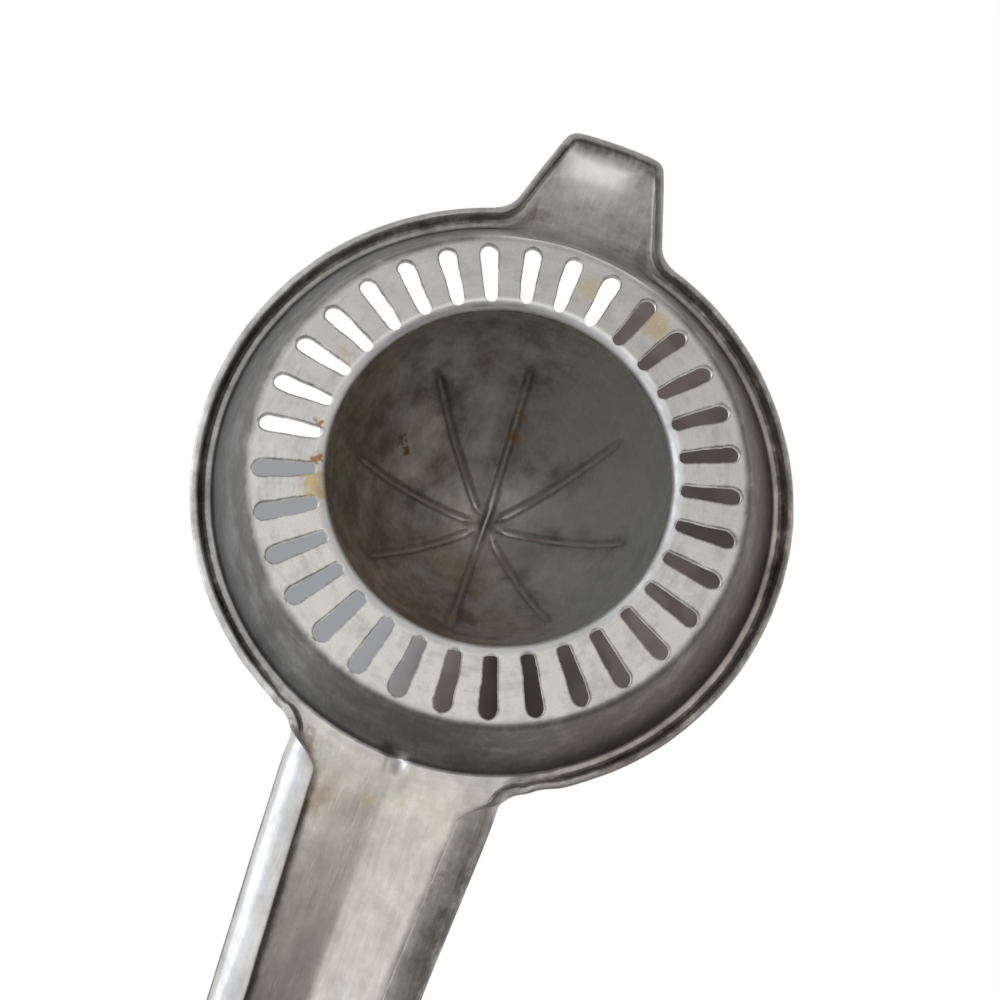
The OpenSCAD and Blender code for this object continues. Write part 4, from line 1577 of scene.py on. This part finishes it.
@dataclass(frozen=True)
class Finish:
    """Aged aluminium: dull where dirt lies and dark where shade is painted, scratched where it is
    held, rubbed along its edges, and bright where highlights are painted.

    Noises are sizes in millimetres and details, from the widest to the finest, and scores are
    directions in degrees and sizes. A pair ending in _r or _x says at which radius or distance a
    zone starts, and where it is complete.
    """

    name: str = "aluminium"
    clean: Colour = (0.715, 0.70, 0.68, 1.0)
    dull: Colour = (0.18, 0.168, 0.150, 1.0)
    grime_and_shade: Colour = (0.045, 0.038, 0.030, 1.0)
    worn_and_highlight: Colour = (0.86, 0.86, 0.85, 1.0)
    rough_clean: float = 0.27
    rough_dull: float = 0.5
    restless: float = 0.0
    blotchy: float = 0.0
    through: bool = False
    stains: tuple[Stain, ...] = ()
    noises: tuple[Band, ...] = ((7.0, 3), (2.6, 2), (0.9, 2), (0.28, 1))
    scores: tuple[Band, Band] = ((25, 0.35), (-50, 0.3))
    cone_r: Band = (28, 24)
    floor_r: Band = (38, 36)
    wall_r: tuple[Band, Band] = ((37.5, 39.5), (45.5, 44.5))
    rim_r: tuple[Band, Band] = ((45.4, 46.2), (50, 48.5))
    handle_x: Band = (50, 56)
    fray: float = 3.5
    bump_strength: float = 0.4
    bump_depth: float = 0.00006

    def under(self, sheet: SheetGraph) -> Value:
        """Returns 1 where a stain may lie: underneath only, unless the stains go through."""
        return 1.0 if self.through else sheet.mark("side").step(0.7, 0.3)

    def lines(self, sheet: SheetGraph, colour: Wire) -> Wire:
        """Returns the colour with the finish's own lines added."""
        return colour

    def stained(self, sheet: SheetGraph, colour: Wire, grain: Wire) -> Wire:
        """Adds the finish's stains, which are frayed and broken up.

        Args:
            sheet: The graph.
            colour: The colour without them.
            grain: Noise that breaks them up.

        Returns:
            The colour.
        """
        inputs = {"Vector": sheet.place, "Scale": 0.9, "Detail": 3.0}
        fray = sheet.add("ShaderNodeTexNoise", None, inputs, 1)
        fray = sheet.vector("SUBTRACT", {0: fray, 1: (0.5,) * 3})
        place = sheet.vector("MULTIPLY_ADD", {0: fray, 1: (self.fray,) * 3, 2: sheet.place})
        broken, under = grain.step(0.25, 0.45), self.under(sheet)
        for stain in self.stains:
            away = sheet.vector("DISTANCE", {0: place, 1: stain.centre}, "Value")
            cover = away.step(stain.reach, stain.reach * 0.4) * broken * under
            colour = sheet.blend(cover * stain.strength, colour, stain.colour)
        return colour

    def material(self) -> bpy.types.Material:
        """Returns the finish as a material."""
        material = bpy.data.materials.new(self.name)
        sheet = SheetGraph(material)
        blotch, cloud, mottle, grain = (sheet.noise(sheet.place, *kind) for kind in self.noises)
        # The dull mark carries dullness and dirt, and the painted shade and highlights of each
        # piece.
        streaks, level, side = sheet.streaks(), sheet.mark("dull"), sheet.mark("side")
        first, second = (sheet.scratches(*kind) for kind in self.scores)
        scores = first.most(second) * blotch
        radius = sheet.radius
        cone = radius.step(*self.cone_r)
        wall = radius.step(*self.wall_r[0]) * radius.step(*self.wall_r[1])
        rim = radius.step(*self.rim_r[0]) * radius.step(*self.rim_r[1])
        rim = rim + sheet.x.step(*self.handle_x) * 0.8
        spots = (blotch - 0.5) * (0.8 + 0.5 * cone) + (cloud - 0.5) * 0.6
        spots = spots + (mottle - 0.5) * (0.35 - 0.1 * cone)
        spots = spots * (1 - side * 0.45 - 0.65 * wall + rim * self.restless)
        loose = spots + (streaks - 0.5) * (0.5 - 0.4 * cone)
        unrest = 0.5 + 0.75 * level + self.blotchy * radius.step(*self.floor_r)
        dull = level + loose * unrest
        colour = sheet.blend(dull, self.clean, self.dull)
        # Past 1 the dull mark darkens towards grime: dirt, and deep painted shade.
        colour = sheet.blend(dull - 1, colour, self.grime_and_shade)
        dull = dull.most(0.0).least(1.0)
        colour = self.stained(sheet, self.lines(sheet, colour), mottle)
        bare = sheet.mark("raw").step(0.4, 1.0) * side.step(0.02, 0.3)
        bare = bare * streaks.step(0.35, 0.6) * (0.4 - 0.3 * dull)
        colour = sheet.blend(bare, colour, self.worn_and_highlight)
        colour = sheet.blend(scores * (0.4 - 0.32 * dull), colour, self.worn_and_highlight)
        rough = self.rough_clean + (self.rough_dull - self.rough_clean) * dull
        height = mottle * 0.35 + grain * 0.04 + streaks * 0.4 - scores * 0.3
        relief = sheet.add("ShaderNodeBump", None, {
            "Strength": self.bump_strength, "Distance": self.bump_depth, "Height": height})
        sheet.end(sheet.add("ShaderNodeBsdfPrincipled", None, {
            "Base Color": colour, "Roughness": rough + (grain - 0.5) * 0.05,
            "Metallic": 1.0 - dull * 0.55, "Normal": relief}))
        return material


@dataclass(frozen=True)
class RubbedFinish(Finish):
    """Flat faces that rub against whatever the reamer lies on."""

    name: str = "rubbed_sheet"
    blotchy: float = 0.4
    stains: tuple[Stain, ...] = (
        Stain((2.8, 28.5, 0.2), 1.2, ORANGE), Stain((7.6, 26.9, 0.2), 1.3, ORANGE),
        Stain((11.1, 25.9, 0.1), 2.6, YELLOW, 0.7), Stain((13.1, 24.8, 0.1), 2.4, YELLOW, 0.7),
        Stain((-9.1, 28.6, 0.0), 1.6, YELLOW, 0.4), Stain((-30.9, -15.2, 0.0), 3.2, YELLOW, 0.55),
        Stain((-32.9, -3.6, 0.0), 2.6, YELLOW, 0.35), Stain((52.3, 2.2, 10.3), 1.3, YELLOW, 0.35),
        Stain((50.8, -2.1, 10.3), 1.3, YELLOW, 0.3), Stain((-47.0, 8.5, 9.0), 2.6, BROWN, 0.35),
        Stain((47.4, 14.6, 9.6), 3.2, BROWN, 0.5), Stain((54.5, 10.4, 10.2), 3.2, GOLD, 0.35),
    )
    warm: Colour = (1.0, 0.965, 0.895, 1.0)

    def lines(self, sheet: SheetGraph, colour: Wire) -> Wire:
        """Returns the colour, warmed on handle and lip, with draw lines round the cone's foot, and
        painted highlights on the fold at the cone's foot and on the lip's face.
        """
        warmed, under = sheet.x.step(42, 50) + sheet.x.step(-37, -40) * 0.45, self.under(sheet)
        colour = sheet.blend(warmed, colour, self.warm, "MULTIPLY")
        waver = sheet.noise(sheet.place, 9.0, 1)
        rings = ((sheet.radius + waver * 0.8) * 12.0).math("SINE").step(0.75, 0.98)
        near = sheet.radius.step(27.2, 26.6) * sheet.z.step(2.4, 1.2) * waver.step(0.42, 0.55)
        # Painted highlight: a bright ring on the fold at the cone's foot, stronger towards +Y.
        foot = sheet.radius.step(28.5, 27.9) * sheet.z.step(1.5, 0.3) * under
        kept = (0.8 + 0.3 * waver) * (0.6 + 0.4 * sheet.y.step(-24, -4))
        colour = sheet.blend(foot * kept, colour, self.worn_and_highlight)
        colour = sheet.blend(rings * near * 0.6, colour, self.dull)
        # Painted highlight on the lip's face in the bright worn colour, cut off before the tip.
        away = sheet.vector("DISTANCE", {0: sheet.place, 1: LIP_HIGHLIGHT_AT}, "Value")
        lip_highlight = away.step(7.5, 1.5) * sheet.radius.step(61.6, 60.2)
        return sheet.blend(lip_highlight * under * 0.6, colour, self.worn_and_highlight)


@dataclass(frozen=True)
class DulledFinish(Finish):
    """Hollows that juice has dulled."""

    name: str = "dulled_sheet"
    earth_and_shade_tint: Colour = (0.95, 0.80, 0.65, 1.0)
    olive_and_lit_tint: Colour = (0.97, 1.0, 0.94, 1.0)
    lit_side_tint: Colour = (0.93, 0.96, 1.0, 1.0)
    shaded_side_tint: Colour = (1.0, 0.94, 0.91, 1.0)
    beige_highlight: Colour = (0.52, 0.46, 0.40, 1.0)
    stains: tuple[Stain, ...] = (
        Stain((-14.2, 0.3, 27.2), 1.8, GOLD), Stain((-17.0, -0.1, 24.2), 1.5, GOLD, 0.8),
        Stain((20.6, 0.2, 19.2), 1.8, GOLD, 0.6), Stain((23.5, 1.0, 13.7), 1.8, BROWN, 0.7),
        Stain((-5.1, 18.3, 21.6), 1.6, BROWN), Stain((-4.2, 17.1, 23.4), 1.3, BROWN),
    )

    def lines(self, sheet: SheetGraph, colour: Wire) -> Wire:
        """Returns the colour with earthy patches and tints of painted light, painted shade beside
        each rib's groove and a painted highlight along it.
        """
        crest, under = sheet.mark("mark"), self.under(sheet)
        radius, y = sheet.radius, sheet.y
        inside, outside = radius.step(29, 26), 1 - radius.step(29, 26)
        # Tints of painted light: inside the cone, earthy brown at random and more so on its +Y and
        # +X sides, which are in shade, and olive on its lit sides; outside it, a cool tint on the
        # +Y side, which faces the window, and a warm one on the -Y side.
        left = sheet.noise(sheet.place, 11.0) + y * 0.011 + sheet.x * 0.008
        for share, tint in (
                (left.step(0.45, 0.75) * inside * under, self.earth_and_shade_tint),
                (left.step(0.55, 0.3) * inside * under, self.olive_and_lit_tint),
                (outside * y.step(-30, 30), self.lit_side_tint), (outside * y.step(5, -30), self.shaded_side_tint)):
            colour = sheet.blend(share, colour, tint, "MULTIPLY")
        # Painted shade on both flanks of each rib's groove, a beige painted highlight along its
        # middle, and a brighter painted highlight along the middle ridge near the hub.
        edge = crest.step(0.02, 0.2) * crest.step(0.75, 0.3) * 0.22
        rubbed = crest.step(0.45, 0.85) * (0.45 + 0.35 * radius.step(20, 9)) * under
        keel = crest.step(0.5, 0.8) * radius.step(8.5, 5.0) * y.math("ABSOLUTE").step(1.2, 0.8)
        colour = sheet.blend(edge, colour, self.grime_and_shade)
        colour = sheet.blend(rubbed, colour, self.beige_highlight)
        return sheet.blend(keel * 0.9, colour, self.worn_and_highlight)


@dataclass(frozen=True)
class BrightFinish(Finish):
    """Rims and curled sides that the hand keeps bright."""

    name: str = "bright_sheet"
    restless: float = 0.9
    through: bool = True
    stains: tuple[Stain, ...] = (
        Stain((49.8, 12.8, 9.0), 1.6, BROWN), Stain((53.7, 10.9, 9.4), 1.4, BROWN),
        Stain((56.7, 10.5, 9.4), 1.2, BROWN), Stain((46.0, 17.0, 9.0), 1.6, BROWN),
        Stain((54.5, -11.5, 8.0), 2.6, BROWN, 0.5), Stain((59.0, -11.2, 7.0), 2.4, BROWN, 0.5),
    )
    shaded_side_tint: Colour = (1.0, 0.95, 0.90, 1.0)

    def lines(self, sheet: SheetGraph, colour: Wire) -> Wire:
        """Returns the colour with painted shade: a little browner and darker on the -Y side, which
        the light doesn't reach.
        """
        return sheet.blend(sheet.y.step(10, -30), colour, self.shaded_side_tint, "MULTIPLY")


class Lamp(NamedTuple):
    """Soft area lamp: its name, its place, the length of its side, its watts and its colour."""

    name: str
    at: Triple
    size: float
    power: float
    colour: Triple


@dataclass
class Studio:
    """Camera, lamps, world, the floor and the backdrop of painted shadow that shows through the
    slots.

    The floor and the backdrop are seen from one side only, because the photograph looks up from
    below the floor, and the other views look down on it.
    """

    camera_at: Triple = (0.048934, -0.003110, -0.175747)
    camera_turn: Triple = (-166.4003, 4.2008, -109.0596)
    lens: float = 43.2
    sensor: float = 36.0
    clip: Band = (0.01, 50.0)
    floor_size: float = 12.0
    backdrop_z: float = 0.0016
    backdrop_r: Band = (0.02775, 0.03825)
    window: Triple = (0.10, 0.90, -0.42)
    lamps: tuple[Lamp, ...] = (
        Lamp("window_lamp", (0.05, 0.43, -0.20), 0.30, 0.3, (0.92, 0.96, 1.0)),
        Lamp("ceiling_lamp", (-0.15, 0.30, 0.55), 0.35, 0.7, (1.0, 0.98, 0.95)),
    )
    room: Colour = (0.48, 0.47, 0.46, 1.0)
    handle_end: Colour = (1.06, 1.04, 1.0, 1.0)
    far_end: Colour = (0.25, 0.24, 0.23, 1.0)
    window_light: Colour = (0.96, 1.01, 1.10, 1.0)
    dark_side: Colour = (0.07, 0.06, 0.07, 1.0)
    horizon: Colour = (0.88, 0.88, 0.88, 1.0)
    sky: Colour = (1.0, 1.0, 1.0, 1.0)
    floor_tints: tuple[Colour, Colour] = ((0.74, 0.74, 0.73, 1.0), (0.76, 0.76, 0.75, 1.0))

    def build(self) -> None:
        """Makes everything that isn't part of the reamer."""
        self.place_camera()
        self.light_world()
        for lamp in self.lamps:
            self.hang(lamp)
        self.lay_floor()
        self.hang_backdrop()

    def place_camera(self) -> None:
        """Makes the camera at the photograph's viewing angle."""
        data = bpy.data.cameras.new("view")
        data.lens, data.sensor_width = self.lens, self.sensor
        data.clip_start, data.clip_end = self.clip
        camera = show("view", data)
        camera.location = self.camera_at
        camera.rotation_euler = [math.radians(a) for a in self.camera_turn]
        bpy.context.scene.camera = camera

    def hang(self, lamp: Lamp) -> None:
        """Hangs a lamp that points at the bowl."""
        data = bpy.data.lights.new(lamp.name, "AREA")
        data.size, data.energy, data.color = lamp.size, lamp.power, lamp.colour
        hung = show(lamp.name, data)
        hung.location = lamp.at
        hung.rotation_euler = (-Vector(lamp.at)).to_track_quat("-Z", "Y").to_euler()

    def light_world(self) -> None:
        """Makes the world: white above, and below a window on the +Y side and a dark room."""
        world = bpy.data.worlds.new("studio")
        bpy.context.scene.world = world
        graph = Graph(world)
        towards = graph.add("ShaderNodeTexCoord", output="Object")
        end, side, height = graph.part(towards)
        window = {0: towards, 1: Vector(self.window).normalized()}
        to_window = graph.vector("DOT_PRODUCT", window, "Value")
        below = graph.blend(end.step(-0.6, 0.15), self.room, self.handle_end)
        below = graph.blend(end.step(0.25, 0.6), below, self.far_end)
        below = graph.blend(to_window.step(0.5, 0.92), below, self.window_light)
        dark = side.step(0.02, -0.27) * end.step(-0.06, 0.14)
        below = graph.blend(dark, below, self.dark_side)
        above = graph.blend(height.step(0.1, 0.8), self.horizon, self.sky)
        colour = graph.blend(height.step(-0.16, -0.06), below, above)
        light = graph.add("ShaderNodeBackground", None, {"Color": colour, "Strength": 1.0})
        graph.end(light, "ShaderNodeOutputWorld")

    def one_sided(self, name: str, paint: Callable[[Graph], Wire]) -> bpy.types.Material:
        """Returns a material that only the camera sees, and only on its front.

        Args:
            name: Name of the material.
            paint: Gives the shader of the front.

        Returns:
            The material.
        """
        material = bpy.data.materials.new(name)
        graph = Graph(material)
        seen = graph.add("ShaderNodeLightPath", output="Is Camera Ray")
        back = graph.add("ShaderNodeNewGeometry", output="Backfacing")
        clear = graph.add("ShaderNodeBsdfTransparent")
        inputs = {0: seen * (1 - back), 1: clear, 2: paint(graph)}
        graph.end(graph.add("ShaderNodeMixShader", None, inputs))
        return material

    def stage(self, name: str, bm: bmesh.types.BMesh, material: bpy.types.Material) -> None:
        """Makes a stage object of a bmesh.

        Args:
            name: Name of the object.
            bm: The bmesh.
            material: Its material.
        """
        piece = show_mesh(name, bm)
        piece.data.materials.append(material)
        piece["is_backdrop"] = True

    def lay_floor(self) -> None:
        """Lays the pale floor under the reamer. It fades out before its edge."""
        def paint(graph: Graph) -> Wire:
            """Returns the shader of the floor."""
            place = graph.add("ShaderNodeTexCoord", output="Object")
            colour = graph.blend(graph.noise(place, 0.02), *self.floor_tints)
            far = graph.vector("LENGTH", {0: place}, "Value").step(0.6, 0.45 * self.floor_size)
            cloth = graph.add("ShaderNodeBsdfDiffuse", None, {"Color": colour})
            clear = graph.add("ShaderNodeBsdfTransparent")
            return graph.add("ShaderNodeMixShader", None, {0: far, 1: cloth, 2: clear})

        bm = bmesh.new()
        bmesh.ops.create_grid(bm, x_segments=4, y_segments=4, size=self.floor_size / 2)
        bmesh.ops.translate(bm, verts=bm.verts, vec=(0, 0, CAD_BOX[0][2]))
        self.stage("floor", bm, self.one_sided("pale_floor", paint))

    def hang_backdrop(self) -> None:
        """Hangs the ring over the slots, whose painted shadow shows through them from below."""
        def paint(graph: Graph) -> Wire:
            """Returns the glowing shader of the backdrop, whose painted shadow colours follow one
            another by azimuth.
            """
            x, y, _ = graph.part(graph.add("ShaderNodeTexCoord", output="Object"))
            turn = x.math("ARCTAN2", y, x) / math.tau + 0.5
            colour = graph.add("ShaderNodeValToRGB", {"stops": BACKDROP}, {0: turn})
            # Darker patches of painted shadow on the shadowed part of the ring.
            cloud = graph.noise(graph.join(x, y, 0.0), 0.006, 1).step(0.4, 0.6) * 0.3
            cloud = cloud * turn.step(0.52, 0.5) * turn.step(0.046, 0.047)
            colour = graph.blend(cloud, colour, DEEP_SHADOW)
            return graph.add("ShaderNodeEmission", None, {"Color": colour, "Strength": 1.0})

        bm = bmesh.new()
        inner, outer = self.backdrop_r
        bmesh.ops.create_circle(bm, segments=96, radius=inner)
        bmesh.ops.translate(bm, verts=bm.verts, vec=(0, 0, self.backdrop_z))
        ring = bmesh.ops.extrude_edge_only(bm, edges=bm.edges[:])
        grown = [v for v in ring["geom"] if isinstance(v, bmesh.types.BMVert)]
        bmesh.ops.scale(bm, verts=grown, vec=(outer / inner, outer / inner, 1))
        bmesh.ops.recalc_face_normals(bm, faces=bm.faces)
        if bm.faces[:][0].normal.z > 0:
            bmesh.ops.reverse_faces(bm, faces=bm.faces)
        self.stage("backdrop", bm, self.one_sided("painted_shadow_backdrop", paint))


def main() -> None:
    """Builds the reamer, its stage, its lights and its camera."""
    logging.basicConfig(level=logging.INFO, format="%(name)s: %(message)s")
    noise.seed_set(WEAR_SEED)
    form = Form()
    Studio().build()
    finishes = zip((Slot.RUBBED, Slot.DULLED, Slot.BRIGHT),
                   (RubbedFinish(), DulledFinish(), BrightFinish()))
    materials = {slot: finish.material() for slot, finish in finishes}
    zones: list[Zone] = [
        Cone(form, "ribbed_cone", ("reamer_cone",), Slot.DULLED),
        Floor(form, "slotted_floor", ("strainer_floor",), Slot.RUBBED),
        Wall(form, "leaning_wall", ("bowl_wall",), Slot.DULLED),
        Rim(form, "left_rim_edge", ("left_rim",), Slot.BRIGHT, side=Side.LEFT),
        Rim(form, "right_rim_edge", ("right_rim",), Slot.BRIGHT, side=Side.RIGHT),
        Lip(form, "swept_lip", ("pouring_lip",), Slot.RUBBED),
        Web(form, "ridged_web", ("handle_web",), Slot.RUBBED),
        Curl(form, "left_curled_side", ("left_curl",), Slot.BRIGHT, side=Side.LEFT),
        Curl(form, "right_curled_side", ("right_curl",), Slot.BRIGHT, side=Side.RIGHT),
        HandleEnd(form, "pierced_end", ("handle_end",), Slot.RUBBED),
    ]
    for zone in zones:
        piece = zone.build()
        zone.dress(piece, materials[zone.slot])
        LOG.info("%s: %d faces", piece.name, len(piece.data.polygons))
    bpy.context.scene.view_settings.view_transform = "Standard"
    boxes = {"cad": CAD_BOX, "visual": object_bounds()}
    {name: [list(corner) for corner in box] for name, box in boxes.items()}


if __name__ == "__main__":
    main()
